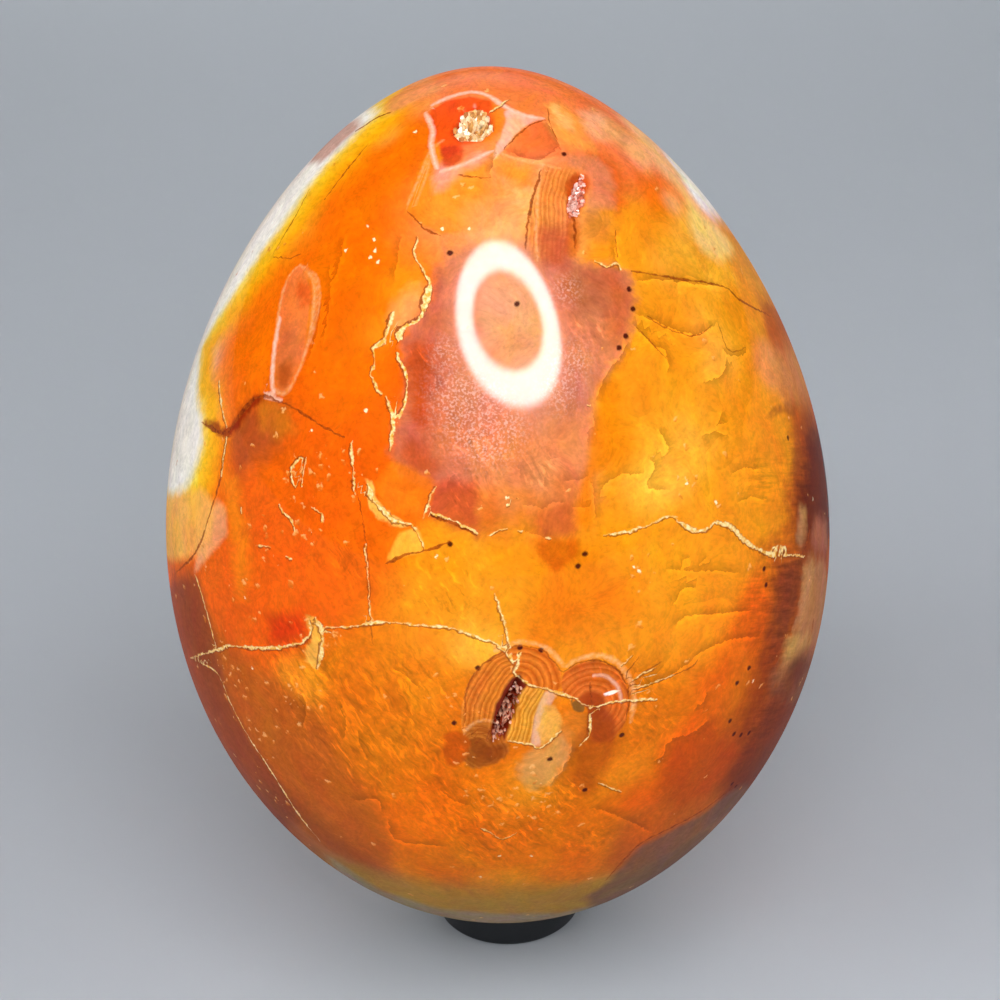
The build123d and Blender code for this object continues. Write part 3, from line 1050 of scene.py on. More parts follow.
LEDGES = [
    (10, [(722, 287), (695, 284), (664, 280), (633, 280)]),
    (10, [(718, 322), (702, 333), (684, 333), (660, 323), (633, 313)]),
    (10, [(667, 376), (668, 362), (664, 349), (655, 347), (646, 338), (631, 322)]),
    (9, [(747, 347), (745, 354), (729, 356), (722, 347)]),
    (10, [(702, 383), (722, 374), (727, 356)]),
    (9, [(595, 402), (606, 376), (620, 356), (630, 340)]),
    (10, [(669, 454), (666, 441), (658, 428)]),
    (11, [(671, 490), (648, 489), (650, 477), (656, 465), (649, 457)]),
    (9, [(645, 474), (626, 474), (612, 479), (596, 493)]),
    (9, [(716, 427), (724, 409)]),
    (10, [(697, 587), (681, 590), (673, 607)]),
    (10, [(751, 611), (735, 612), (716, 614), (688, 616), (673, 628)]),
    (8, [(742, 572), (692, 571), (664, 569)]),
    (10, [(692, 661), (659, 682), (631, 687)]),
    (10, [(760, 636), (730, 640), (705, 650), (690, 662)]),
    (10, [(694, 712), (697, 705), (703, 703), (708, 689)]),
    (14, [(652, 763), (663, 756), (665, 747), (674, 738), (694, 732), (710, 718)]),
    (9, [(382, 812), (377, 799), (353, 801)]),
    (9, [(449, 847), (397, 840), (388, 819)]),
    (9, [(548, 786), (562, 770), (570, 755), (572, 738)]),
    (8, [(700, 437), (714, 432), (730, 436)]),
    (8, [(760, 470), (744, 468), (730, 474)]),
    (8, [(768, 500), (750, 498), (736, 503)]),
    (8, [(340, 700), (346, 722), (344, 742)]),
    (8, [(302, 690), (306, 712), (302, 730)]),
    (8, [(420, 690), (404, 674), (392, 668)]),
    (8, [(368, 760), (360, 744), (358, 728)]),
    (8, [(470, 806), (452, 800), (438, 788)]),
    (8, [(402, 232), (398, 256), (394, 280)]),
    (8, [(344, 236), (340, 262), (330, 290)]),
    (9, [(650, 832), (618, 816), (592, 807)]),
    (8, [(615, 232), (616, 258), (622, 274)]),
    (8, [(690, 557), (681, 563)]),
    (8, [(709, 556), (699, 564)]),
    (6, [(594, 522), (594, 500), (592, 480)]),
    (6, [(589, 448), (588, 432), (594, 425), (591, 408)]),
    (5, [(550, 539), (536, 535), (522, 530)]),
    (5, [(545, 510), (533, 506), (521, 505)]),
    (6, [(566, 501), (550, 504), (545, 509)]),
    (6, [(592, 506), (581, 508), (571, 508)]),
    (6, [(590, 477), (578, 480), (563, 481)]),
    (5, [(561, 457), (552, 459), (545, 463)]),
    (5, [(541, 489), (544, 482), (546, 474)]),
    (5, [(521, 480), (520, 471), (516, 462)]),
    (5, [(569, 416), (567, 408), (562, 402)]),
    (5, [(434, 392), (436, 380), (429, 372)]),
    (5, [(448, 492), (449, 480), (455, 473)]),
    (9, [(497, 150), (494, 160), (490, 176)]),
    (9, [(560, 146), (540, 160), (506, 152)]),
    (9, [(545, 120), (556, 138), (562, 150)]),
    (8, [(322, 300), (318, 330), (308, 360)]),
    (8, [(330, 262), (330, 300), (322, 345)]),
]
SEAMS = [
    (2.2, [(201, 422), (217, 431), (228, 431), (244, 409), (259, 397), (275, 398)]),
    (1.1, [(228, 431), (221, 476), (212, 507), (197, 550), (175, 574)]),
    (1.0, [(262, 397), (288, 405), (324, 427), (346, 438)]),
    (0.5, [(351, 454), (353, 476), (362, 514), (370, 581), (370, 621), (374, 648)]),
    (1.1, [(429, 514), (451, 523), (480, 536)]),
    (1.2, [(384, 565), (407, 554), (425, 551), (451, 541)]),
    (1.1, [(629, 271), (644, 273), (673, 278), (722, 286), (740, 300), (774, 318)]),
    (0.5, [(633, 324), (651, 342), (669, 362)]),
    (0.5, [(644, 313), (664, 327), (695, 336), (713, 324)]),
    (0.5, [(718, 322), (729, 351), (747, 347)]),
    (0.9, [(502, 152), (510, 143), (520, 133), (532, 124), (546, 120)]),
    (0.6, [(548, 108), (549, 120), (553, 132), (560, 143)]),
    (0.6, [(615, 225), (616, 245), (618, 262)]),
    (1.1, [(543, 166), (533, 197), (527, 229), (526, 251)]),
    (0.8, [(406, 210), (418, 222), (428, 231), (442, 235)]),
    (0.6, [(628, 684), (645, 672), (664, 660)]),
    (0.6, [(630, 692), (655, 682), (690, 668), (700, 658)]),
    (0.6, [(625, 674), (634, 664), (640, 654)]),
    (1.0, [(814, 616), (812, 630), (808, 644)]),
    (1.2, [(813, 520), (809, 534), (806, 546), (802, 553)]),
    (0.7, [(470, 736), (478, 729), (488, 730), (494, 737)]),
    (0.6, [(474, 745), (482, 739), (490, 743)]),
    (0.6, [(590, 680), (591, 694), (592, 705)]),
    (0.7, [(457, 175), (474, 177), (492, 178)]),
    (1.5, [(740, 782), (703, 810), (670, 828), (641, 843), (623, 861), (605, 881)]),
    (0.7, [(370, 142), (345, 172), (322, 203)]),
    (0.6, [(311, 186), (296, 215), (272, 256)]),
    (0.6, [(272, 257), (290, 258), (303, 253)]),
    (1.6, [(394, 111), (378, 117), (364, 126), (354, 132)]),
    (0.8, [
        (464, 712), (467, 689), (476, 671), (492, 658), (509, 649), (521, 646), (541, 650), (552, 659),
        (562, 673),
    ]),
    (0.8, [(562, 674), (577, 664), (597, 660), (615, 668), (626, 683), (629, 702), (626, 722)]),
    (1.6, [(582, 172), (571, 204), (575, 225), (575, 251)]),
]
BANDS = [
    (2.4, [(425, 112), (433, 130), (431, 146), (438, 172)]),
    (1.4, [(438, 172), (462, 165), (494, 150)]),
    (2.2, [(427, 108), (447, 98), (471, 92), (489, 96), (504, 106), (524, 115), (546, 119)]),
    (1.0, [(590, 676), (606, 676), (618, 688), (622, 704)]),
    (2.4, [(281, 312), (275, 345), (272, 380), (275, 398)]),
    (1.5, [(262, 396), (275, 399), (284, 401)]),
]
RIMS = [
    (2.4, [(492, 652), (505, 646), (521, 642), (543, 646), (556, 656), (565, 669)]),
    (2.6, [(563, 669), (577, 660), (597, 655), (617, 662), (630, 680), (634, 702), (630, 724)]),
    (1.2, [(546, 692), (543, 704), (538, 724), (535, 744)]),
    (1.6, [
        (300, 264), (288, 278), (281, 300), (275, 340), (273, 380), (279, 393), (290, 388), (306, 351),
        (313, 313), (314, 286), (308, 272), (300, 264),
    ]),
    (0.8, [(306, 266), (318, 280), (319, 306), (310, 344)]),
    (1.1, [(446, 138), (431, 150), (424, 166), (414, 190), (405, 210)]),
    (0.8, [(431, 152), (426, 176), (415, 206)]),
    (1.2, [(463, 735), (470, 726), (482, 720), (494, 723), (498, 733)]),
    (1.0, [(500, 153), (520, 160), (545, 165), (562, 169)]),
    (0.9, [(541, 168), (538, 190), (537, 214), (536, 240), (538, 262)]),
]
END_TAPER = 0.12
END_WIDTH = 0.25
LINE_ROOM = 0.5
BACK_TOP = 330
BACK_FOOT = 640


def keep_strokes(group, strokes):
    """For the nearest stroke at each point: signed distance, and half width that tapers to both ends."""
    nearest = np.full(len(smooth_stone), SEARCH_MARGIN)
    signed = np.full(len(smooth_stone), SEARCH_MARGIN)
    width = np.zeros(len(smooth_stone))
    middles = [np.mean(corners, axis=0) for _, corners in strokes]
    copies = [(0.0, stroke) for stroke in strokes]
    for (half_width, corners), (_, level) in zip(strokes, middles):
        if BACK_TOP < level < BACK_FOOT:
            copies.append((180.0, (half_width, [(PHOTO - x, y) for x, y in corners])))
    for turn, (half_width, corners) in copies:
        gap, side, share = distance_along(drawn_curve(corners, closed=False), turn)
        taper = np.clip(np.minimum(share, 1 - share) / END_TAPER, 0, 1)
        local_width = half_width / PIXELS_PER_MM * (END_WIDTH + (1 - END_WIDTH) * taper)
        local_width[(share <= 0) | (share >= 1)] = -1
        local_width -= np.maximum(gap - LINE_ROOM, 0)
        closer = gap - local_width < nearest
        nearest[closer] = (gap - local_width)[closer]
        signed[closer] = (gap * side)[closer]
        width[closer] = local_width[closer]
    keep(group + "_side", signed)
    keep(group + "_width", width)


keep_strokes("vein", VEINS)
keep_strokes("seam", SEAMS)
keep_strokes("band", BANDS)
keep_strokes("rim", RIMS)
keep_strokes("ledge", LEDGES)
print(len(VEINS), "healed cracks,", len(SEAMS), "dark seams and", len(LEDGES), "ledges")
print(len(BANDS), "pale bands and", len(RIMS), "rims")

# %% [markdown]
# Materials are made of nodes. One small function adds a node, sets its properties and its sockets,
# and gives back the output that the next node reads. Colours are written as they look, and turned to linear.

# %% Node helper
NOISE_LOW = 0.3  # nearly all of a noise lies between these two
NOISE_HIGH = 0.7


def add(tree, kind, inputs, out=0, **settings):
    """Adds one node; a socket that is given another node's output is linked to it."""
    node = tree.nodes.new("ShaderNode" + kind)
    for name, value in settings.items():
        setattr(node, name, value)
    for socket, value in inputs.items():
        if isinstance(value, bpy.types.NodeSocket):
            tree.links.new(value, node.inputs[socket])
        else:
            node.inputs[socket].default_value = value
    return node.outputs[out] if node.outputs else None


def new_material(name):
    """An empty node material and its node tree."""
    material = bpy.data.materials.new(name)
    material.use_nodes = True
    material.node_tree.nodes.clear()
    return material, material.node_tree


# %% [markdown]
# Carnelian agate is quartz too fine to show its crystals, tinted by iron and ground and polished to a gloss.
# Light goes a little way in before it comes back, so the colours are deep and the polish lies over them
# like a coat. The colours are built in layers. This one is the shade of the scales in the ground, each row
# a size in mm, the way that its scales are lit and how strongly, with a mottle and a fine grit over them.

# %% Agate: scales
SCALES = ((6.0, (0.35, -0.2, 0.9), 0.14), (2.4, (-0.6, 0.1, 0.7), 0.1))
SCALES_ELSEWHERE = 0.5  # how strong the scales are outside the petals
SCALE_TONES = 0.6
MOTTLE_PER_MM = 1.1
MOTTLE_TONES = (0.87, 1.12)
GRIT_SIZE = 0.4
GRIT_TONES = (0.89, 1.11)


def scale_shade(tree, place, flowing):
    """Lights each cell across one way, so that cells overlap like scales, then adds mottle and grit."""
    petals = add(tree, "Attribute", {}, out="Fac", attribute_name="area_petals")
    petals = add(tree, "MapRange", {"Value": petals, "To Min": SCALES_ELSEWHERE, "To Max": 1.0})
    shade = None
    for cell, lit, strength in SCALES:
        cells = add(tree, "TexVoronoi", {"Vector": flowing, "Scale": 1 / cell}, out="Position").node
        inside = add(tree, "VectorMath", {0: flowing, 1: cells.outputs["Position"]}, operation="SUBTRACT")
        inside = add(tree, "VectorMath", {0: inside, 3: 1 / cell}, operation="SCALE")
        across = add(tree, "VectorMath", {0: inside, 1: lit}, out="Value", operation="DOT_PRODUCT")
        tone = add(tree, "SeparateColor", {0: cells.outputs["Color"]}, out=0)
        tone = add(tree, "Math", {0: tone, 1: -0.5}, operation="ADD")
        across = add(tree, "Math", {0: tone, 1: SCALE_TONES, 2: across}, operation="MULTIPLY_ADD")
        across = add(tree, "Math", {0: across, 1: petals}, operation="MULTIPLY")
        across = add(tree, "Math", {0: across, 1: strength, 2: 1.0}, operation="MULTIPLY_ADD")
        shade = across if shade is None else add(tree, "Math", {0: shade, 1: across}, operation="MULTIPLY")
    mottle = add(tree, "TexNoise", {
        "Vector": place, "Scale": MOTTLE_PER_MM, "Detail": 4.0, "Roughness": 0.7,
    }, out="Fac")
    mottle = add(tree, "MapRange", {
        "Value": mottle, "From Min": NOISE_LOW, "From Max": NOISE_HIGH,
        "To Min": MOTTLE_TONES[0], "To Max": MOTTLE_TONES[1],
    })
    shade = add(tree, "Math", {0: shade, 1: mottle}, operation="MULTIPLY")
    grit = add(tree, "TexNoise", {
        "Vector": flowing, "Scale": 1 / GRIT_SIZE, "Detail": 2.0, "Roughness": 0.6,
    }, out="Fac")
    grit = add(tree, "MapRange", {
        "Value": grit, "From Min": NOISE_LOW, "From Max": NOISE_HIGH,
        "To Min": GRIT_TONES[0], "To Max": GRIT_TONES[1],
    })
    return add(tree, "Math", {0: shade, 1: grit}, operation="MULTIPLY")


# %% [markdown]
# Iron is spread unevenly in the stone, so the green and blue of every colour come and go more than its red.
# At the left edge the iron gives out and the stone is milky, behind a fringe of honey. On the side that
# the photograph does not show, the milk is duller and stained.

# %% Agate: uneven iron and the milky edge
IRON_SIZE = (3.0, 3.0, 6.5)
IRON_LEAST = (0.97, 0.86, 0.72)
IRON_MOST = (1.03, 1.12, 1.25)
IRON_IN_MILK = 0.15  # how much of the iron's unevenness is left in the milk
MILK_STAINED = 0.2  # how much of the milk's calm is left on the far side
MILK_DULLED = (0.70, 0.57, 0.45)
MILK_RAGGED = 1.2
MILK_REACH = 9.0
MILK_FADES = (-7.0, -2.5)
MILK_BANDS = [
    (-9.0, "#F67C06"), (-5.0, "#FC8E06"), (-3.0, "#FFAA0C"), (-1.4, "#FFC022"), (-0.6, "#FFD45C"),
    (0.2, "#F8E8C0"), (0.9, "#FCF5EA"), (6.0, "#F8EDE2"),
]


def colour_row(tree, value, low, high, stops):
    """A row of colours over a distance in mm, from low to high."""
    share = add(tree, "MapRange", {"Value": value, "From Min": low, "From Max": high})
    row = add(tree, "ValToRGB", {0: share}).node
    elements = row.color_ramp.elements
    elements.remove(elements[1])
    for index, (reach, shown) in enumerate(stops):
        element = elements[0] if index == 0 else elements.new((reach - low) / (high - low))
        element.position = (reach - low) / (high - low)
        element.color = linear(shown)
    return row.outputs[0]


def iron_play(tree, flowing, unseen):
    """A slow noise that multiplies red a little, green more and blue most, and is calm in the milk."""
    upright = add(tree, "Mapping", {"Vector": flowing, "Scale": IRON_SIZE}, vector_type="TEXTURE")
    play = add(tree, "TexNoise", {
        "Vector": upright, "Scale": 1.0, "Detail": 4.0, "Roughness": 0.62,
    }, out="Color")
    play = add(tree, "MapRange", {
        "Vector": play, 7: [NOISE_LOW] * 3, 8: [NOISE_HIGH] * 3, 9: IRON_LEAST, 10: IRON_MOST,
    }, out="Vector", data_type="FLOAT_VECTOR", clamp=False)
    calm = add(tree, "Attribute", {}, out="Fac", attribute_name="milk")
    calm = add(tree, "MapRange", {
        "Value": calm, "From Min": -1.5, "From Max": 0.5, "To Max": 1 - IRON_IN_MILK,
    })
    wild = add(tree, "MapRange", {"Value": unseen, "To Min": 1.0, "To Max": MILK_STAINED})
    calm = add(tree, "Math", {0: calm, 1: wild}, operation="MULTIPLY")
    return add(tree, "Mix", {0: calm, 4: play, 5: (1.0, 1.0, 1.0)}, out=1, data_type="VECTOR")


def milky_edge(tree, colour, ragged, unseen):
    """The milky layer over a colour, by its distance from the milk's edge, and duller on the far side."""
    gap = add(tree, "Attribute", {}, out="Fac", attribute_name="milk")
    gap = add(tree, "Math", {0: ragged, 1: MILK_RAGGED, 2: gap}, operation="MULTIPLY_ADD")
    milk = colour_row(tree, gap, -MILK_REACH, MILK_REACH, MILK_BANDS)
    dull = add(tree, "Mix", {0: unseen, 4: (1.0, 1.0, 1.0), 5: MILK_DULLED}, out=1, data_type="VECTOR")
    milk = add(tree, "VectorMath", {0: milk, 1: dull}, operation="MULTIPLY")
    fade = add(tree, "MapRange", {
        "Value": gap, "From Min": MILK_FADES[0], "From Max": MILK_FADES[1],
    }, interpolation_type="SMOOTHSTEP")
    return add(tree, "Mix", {0: fade, 6: colour, 7: milk}, out=2, data_type="RGBA")


# %% [markdown]
# The patches come next, each cut off at its own outline. An eye is a patch whose colour is a row of bands.

# %% Agate: patches and banded eyes
BAND_UNEVEN = 0.35
BAND_BEAT = 2.1


def banding(heart, first, spacing, count, dark, pale):
    """A row of colours: the heart of an eye, then dark and pale bands by turns at an uneven spacing."""
    steps = first + spacing * (np.arange(count) + BAND_UNEVEN * np.sin(BAND_BEAT * np.arange(count)))
    return heart + [(reach, dark if index % 2 else pale) for index, reach in enumerate(steps.tolist())]


EYE_HEART = [(0.0, "#5E170C"), (0.65, "#7A2410")]
RED_HEART = [(0.0, "#A43A0C"), (1.1, "#B0460E")]
SIDE_HEART = [(0.0, "#B8481A"), (0.6, "#C85A24")]
SMALL_HEART = [(0.0, "#7E380E"), (0.7, "#8E420E")]
BANDED = {
    "eye_left": ("left", banding(EYE_HEART, 0.95, 0.21, 18, "#BE5A10", "#E2842A")),
    "eye_yellow": ("left", banding(EYE_HEART, 0.95, 0.18, 14, "#CA7414", "#F0A83C")),
    "eye_top": ("top", banding(RED_HEART[:1], 0.6, 0.3, 13, "#C25208", "#E67E24")),
    "eye_right": ("right", banding(RED_HEART, 1.5, 0.27, 12, "#C4520E", "#DE7228")),
    "eye_side": ("side", banding(SIDE_HEART, 0.8, 0.2, 18, "#CE6626", "#EA8C40")),
    "brown_blob": ("small", banding(SMALL_HEART, 0.9, 0.22, 9, "#A04E12", "#C06C24")),
}
BAND_REACH = 5.0
BAND_RAGGED = 0.4


def patched(tree, colour, ragged):
    """Lays each patch over a colour where its distance, made ragged, is below nothing."""
    for name, (shown, soft, rough, strength, _) in PATCHES.items():
        gap = add(tree, "Attribute", {}, out="Fac", attribute_name="patch_" + name)
        gap = add(tree, "Math", {0: ragged, 1: rough * 2, 2: gap}, operation="MULTIPLY_ADD")
        mask = add(tree, "MapRange", {
            "Value": gap, "From Min": -soft / 2, "From Max": soft / 2, "To Min": strength, "To Max": 0.0,
        }, interpolation_type="SMOOTHSTEP")
        tint = linear(shown)
        if name in BANDED:
            centre, stops = BANDED[name]
            reach = add(tree, "Attribute", {}, out="Fac", attribute_name="eye_reach_" + centre)
            reach = add(tree, "Math", {0: ragged, 1: BAND_RAGGED, 2: reach}, operation="MULTIPLY_ADD")
            tint = colour_row(tree, reach, 0.0, BAND_REACH, stops)
        colour = add(tree, "Mix", {0: mask, 6: colour, 7: tint}, out=2, data_type="RGBA")
    return colour


# %% [markdown]
# Inside the polish there are finer things: ledges where one sheet ends over another, with painted shade on
# one side and painted light on the other, short slanting strokes, level streaks, grains with painted light on
# their upper side, and dusty specks with a painted sheen round the highlight.
# Each has a size of its own in millimetres and shows only in its own area.

# %% Agate: ledges, strokes, streaks, grains and dust
LEDGE_SOFT = 0.03
LEDGE_SHADE = -0.34
LEDGE_SHADE_REACH = 1.2
LEDGE_LIGHT = 0.34
LEDGE_LIGHT_LEFT = 0.04
LEDGE_LIGHT_REACH = 0.5
STROKE_LEAN = np.radians(56.0)

# Each row: the size of a stroke in mm, and how much brighter and darker than the ground it gets
STROKES = (((1.6, 1.6, 0.42), 0.6, 0.3), ((4.2, 4.2, 0.9), 0.22, 0.18))
STROKE_BEND = 1.3
STROKE_BEND_SIZE = 1.8182
STROKE_BRIGHT = (0.56, 0.72)
STROKE_DARK = (0.45, 0.3)
STREAK_LEAN = -CAMERA_RISE
STREAK_SIZE = (3.0, 3.0, 0.45)
STREAK_TONES = (-0.34, 0.4)
GRAIN_SIZE = 0.75
GRAIN_JITTER = 1.1
GRAIN_JITTER_SIZE = 0.5556
GRAIN_SHARE = 0.5
GRAINS_ELSEWHERE = 0.015
GRAIN_LIT_FROM = (-0.5, 0.0, 0.86)
GRAIN_HALF = 0.3
GRAIN_TONES = [(-GRAIN_HALF, "#B04C14"), (-0.08, "#DE7A24"), (0.06, "#FFB25C"), (GRAIN_HALF, "#FFD08C")]
GRAIN_EDGE = (0.46, 0.3)
GRAIN_STRENGTH = 0.6
DUST_AND_SHEEN_SIZE = 0.22
DUST_AND_SHEEN_SPECKS = (0.47, 0.66)
DUST_AND_SHEEN_STRENGTH = 0.42


def worked(tree, colour, place, wobble):
    """Multiplies a colour by ledges, strokes and streaks, and lays grains and dusty specks over it.

    The ledges are painted shade and light, and the specks carry a painted sheen round the highlight.
    """
    # Ledges: painted shade on one side of each line and a thin painted light on the other
    side = add(tree, "Attribute", {}, out="Fac", attribute_name="ledge_side")
    side = add(tree, "Math", {0: side, 1: wobble}, operation="ADD")
    room = add(tree, "Attribute", {}, out="Fac", attribute_name="ledge_width")
    room = add(tree, "MapRange", {"Value": room, "From Max": 1.0, "To Max": 1.0})
    dark = add(tree, "MapRange", {
        "Value": side, "From Min": -LEDGE_SHADE_REACH, "From Max": -LEDGE_SOFT, "To Max": LEDGE_SHADE,
    })
    lit = add(tree, "MapRange", {
        "Value": side, "From Min": LEDGE_SOFT, "From Max": LEDGE_LIGHT_REACH,
        "To Min": LEDGE_LIGHT, "To Max": LEDGE_LIGHT_LEFT,
    })
    edge = add(tree, "MapRange", {"Value": side, "From Min": -LEDGE_SOFT, "From Max": LEDGE_SOFT})
    step = add(tree, "Mix", {0: edge, 2: dark, 3: lit})
    step = add(tree, "Math", {0: step, 1: room, 2: 1.0}, operation="MULTIPLY_ADD")
    colour = add(tree, "VectorMath", {0: colour, 3: step}, operation="SCALE")

    area = add(tree, "Attribute", {}, out="Fac", attribute_name="area_strokes")
    bend = add(tree, "TexNoise", {"Vector": place, "Scale": 1 / STROKE_BEND_SIZE, "Detail": 1.0}, out="Color")
    bend = add(tree, "VectorMath", {0: bend, 3: STROKE_BEND}, operation="SCALE")
    bent = add(tree, "VectorMath", {0: place, 1: bend}, operation="ADD")
    for size, most, least in STROKES:
        leaning = add(tree, "Mapping", {
            "Vector": bent, "Rotation": (0, STROKE_LEAN, 0), "Scale": size,
        }, vector_type="TEXTURE")
        stroke = add(tree, "TexNoise", {
            "Vector": leaning, "Scale": 1.0, "Detail": 2.0, "Roughness": 0.6,
        }, out="Fac")
        bright = add(tree, "MapRange", {
            "Value": stroke, "From Min": STROKE_BRIGHT[0], "From Max": STROKE_BRIGHT[1], "To Max": most,
        })
        dark = add(tree, "MapRange", {
            "Value": stroke, "From Min": STROKE_DARK[0], "From Max": STROKE_DARK[1], "To Max": least,
        })
        stroke = add(tree, "Math", {0: bright, 1: dark}, operation="SUBTRACT")
        stroke = add(tree, "Math", {0: stroke, 1: area, 2: 1.0}, operation="MULTIPLY_ADD")
        colour = add(tree, "VectorMath", {0: colour, 3: stroke}, operation="SCALE")

    area = add(tree, "Attribute", {}, out="Fac", attribute_name="area_streaks")
    level = add(tree, "Mapping", {
        "Vector": place, "Rotation": (STREAK_LEAN, 0, 0), "Scale": STREAK_SIZE,
    }, vector_type="TEXTURE")
    streak = add(tree, "TexNoise", {
        "Vector": level, "Scale": 1.0, "Detail": 3.0, "Roughness": 0.6,
    }, out="Fac")
    streak = add(tree, "MapRange", {
        "Value": streak, "From Min": NOISE_LOW, "From Max": NOISE_HIGH,
        "To Min": STREAK_TONES[0], "To Max": STREAK_TONES[1],
    })
    streak = add(tree, "Math", {0: streak, 1: area, 2: 1.0}, operation="MULTIPLY_ADD")
    colour = add(tree, "VectorMath", {0: colour, 3: streak}, operation="SCALE")

    area = add(tree, "Attribute", {}, out="Fac", attribute_name="area_grains")
    jitter = add(tree, "TexNoise", {
        "Vector": place, "Scale": 1 / GRAIN_JITTER_SIZE, "Detail": 2.0,
    }, out="Color")
    jittered = add(tree, "VectorMath", {0: jitter, 1: [GRAIN_JITTER] * 3, 2: place}, operation="MULTIPLY_ADD")
    cells = add(tree, "TexVoronoi", {"Vector": jittered, "Scale": 1 / GRAIN_SIZE}, out="Distance").node
    chosen = add(tree, "SeparateColor", {0: cells.outputs["Color"]}, out=0)
    share = add(tree, "Math", {0: area, 1: GRAIN_SHARE, 2: GRAINS_ELSEWHERE}, operation="MULTIPLY_ADD")
    chosen = add(tree, "Math", {0: chosen, 1: share}, operation="LESS_THAN")
    inside = add(tree, "VectorMath", {0: jittered, 1: cells.outputs["Position"]}, operation="SUBTRACT")
    # Painted light on each grain's upper side and painted shade on its lower side
    lit = add(tree, "VectorMath", {0: inside, 1: GRAIN_LIT_FROM}, out="Value", operation="DOT_PRODUCT")
    tint = colour_row(tree, lit, -GRAIN_HALF, GRAIN_HALF, GRAIN_TONES)
    mask = add(tree, "MapRange", {
        "Value": cells.outputs["Distance"], "From Min": GRAIN_EDGE[0], "From Max": GRAIN_EDGE[1],
        "To Max": GRAIN_STRENGTH,
    })
    mask = add(tree, "Math", {0: mask, 1: chosen}, operation="MULTIPLY")
    colour = add(tree, "Mix", {0: mask, 6: colour, 7: tint}, out=2, data_type="RGBA")

    # Dusty specks with a painted sheen: pale specks round the highlight
    area = add(tree, "Attribute", {}, out="Fac", attribute_name="area_dust_and_sheen")
    dust_and_sheen = add(tree, "TexNoise", {"Vector": place, "Scale": 1 / DUST_AND_SHEEN_SIZE, "Detail": 2.0}, out="Fac")
    dust_and_sheen = add(tree, "MapRange", {
        "Value": dust_and_sheen, "From Min": DUST_AND_SHEEN_SPECKS[0], "From Max": DUST_AND_SHEEN_SPECKS[1], "To Max": DUST_AND_SHEEN_STRENGTH,
    })
    dust_and_sheen = add(tree, "Math", {0: dust_and_sheen, 1: area}, operation="MULTIPLY")
    return add(tree, "Mix", {0: dust_and_sheen, 6: colour, 7: linear("#F4C8BA")}, out=2, data_type="RGBA")


# %% [markdown]
# Dark dots and pale glints are too small for the grid, so each is the distance from its own place.

# %% Agate: dots and glints
DOTS = [
    (564, 154), (629, 289), (633, 309), (626, 336), (619, 348), (517, 304), (450, 544), (585, 554),
    (578, 566), (764, 569), (766, 585), (788, 438), (478, 668), (454, 723), (622, 735), (550, 759),
    (585, 790), (741, 735), (734, 734), (749, 733), (730, 721), (749, 668), (732, 784), (736, 786),
    (737, 683), (520, 647), (541, 650), (450, 253),
]
DOT_RADIUS = 0.25
GLINTS = [
    (687, 483), (716, 502), (500, 856), (531, 856), (481, 877), (442, 228), (469, 228), (366, 410),
    (311, 430), (245, 598), (252, 668), (437, 556), (507, 498), (634, 567), (639, 571), (813, 499),
    (828, 606), (815, 649), (753, 681), (368, 226), (374, 240), (375, 250), (371, 257), (378, 262),
    (346, 250), (415, 132),
]
GLINT_RADIUS = 0.14

# Each row: the places, the radius in mm, how much the edge is chipped in mm, and the colour
SPECKS = (
    (DOTS, DOT_RADIUS, 0.2, "#400A08"),
    (GLINTS, GLINT_RADIUS, 0.5, "#FFE9B8"),
)
CHIP_SIZE = 0.2857
SPECK_STRENGTH = 0.95
SPECK_EDGE = (0.7, 1.3)


def specked(tree, colour, place):
    """Lays a dark dot or a pale glint over a colour near each of its places."""
    chipped = add(tree, "TexNoise", {"Vector": place, "Scale": 1 / CHIP_SIZE, "Detail": 1.0}, out="Fac")
    chipped = add(tree, "Math", {0: chipped, 1: -0.5}, operation="ADD")
    for places, radius, chip, shown in SPECKS:
        nearest = None
        for spot in on_stone(places).tolist():
            gap = add(tree, "VectorMath", {0: place, 1: spot}, out="Value", operation="DISTANCE")
            nearest = gap if nearest is None else add(tree, "Math", {0: nearest, 1: gap}, operation="MINIMUM")
        nearest = add(tree, "Math", {0: chipped, 1: chip, 2: nearest}, operation="MULTIPLY_ADD")
        mask = add(tree, "MapRange", {
            "Value": nearest, "From Min": radius * SPECK_EDGE[0], "From Max": radius * SPECK_EDGE[1],
            "To Min": SPECK_STRENGTH, "To Max": 0.0,
        })
        colour = add(tree, "Mix", {0: mask, 6: colour, 7: linear(shown)}, out=2, data_type="RGBA")
    return colour


# %% [markdown]
# The cracks come last. A healed crack is granular quartz, cream to gold,
# with a painted shadow on one side as a dark brown edge.
# Its width swells and breaks off, so that it looks grown and not drawn.

# %% Agate: bands, seams and healed cracks
# Each row: the group, its deep and pale colours, how much wider than drawn, how far to one side in mm,
# how strong, how much its width and course waver, and how soft its edge is in mm.
CRACKS = (
    ("rim", ("#F8A854", "#FCC890"), 0.85, 0.0, 0.5, 0.4, 0.16),
    ("band", ("#F4B898", "#F8CAB4"), 1.0, 0.0, 0.85, 0.25, 0.16),
    ("seam", ("#6E260C", "#A8480F"), 1.0, 0.0, 0.85, 0.6, 0.05),
    # A painted shadow: the dark brown edge on one side of each healed crack
    ("vein", ("#5E2208", "#9A4410"), 1.4, 0.09, 0.75, 0.8, 0.06),
    ("vein", ("#EEA83C", "#FFE6A4"), 0.85, 0.0, 0.95, 0.8, 0.05),
)
CRACK_NOISE = (0.36, 0.62)
CRACK_SWELL = 1.6
CRACK_SWELL_SIZE = 1.4286
CRACK_GRAIN_SIZE = 0.3333


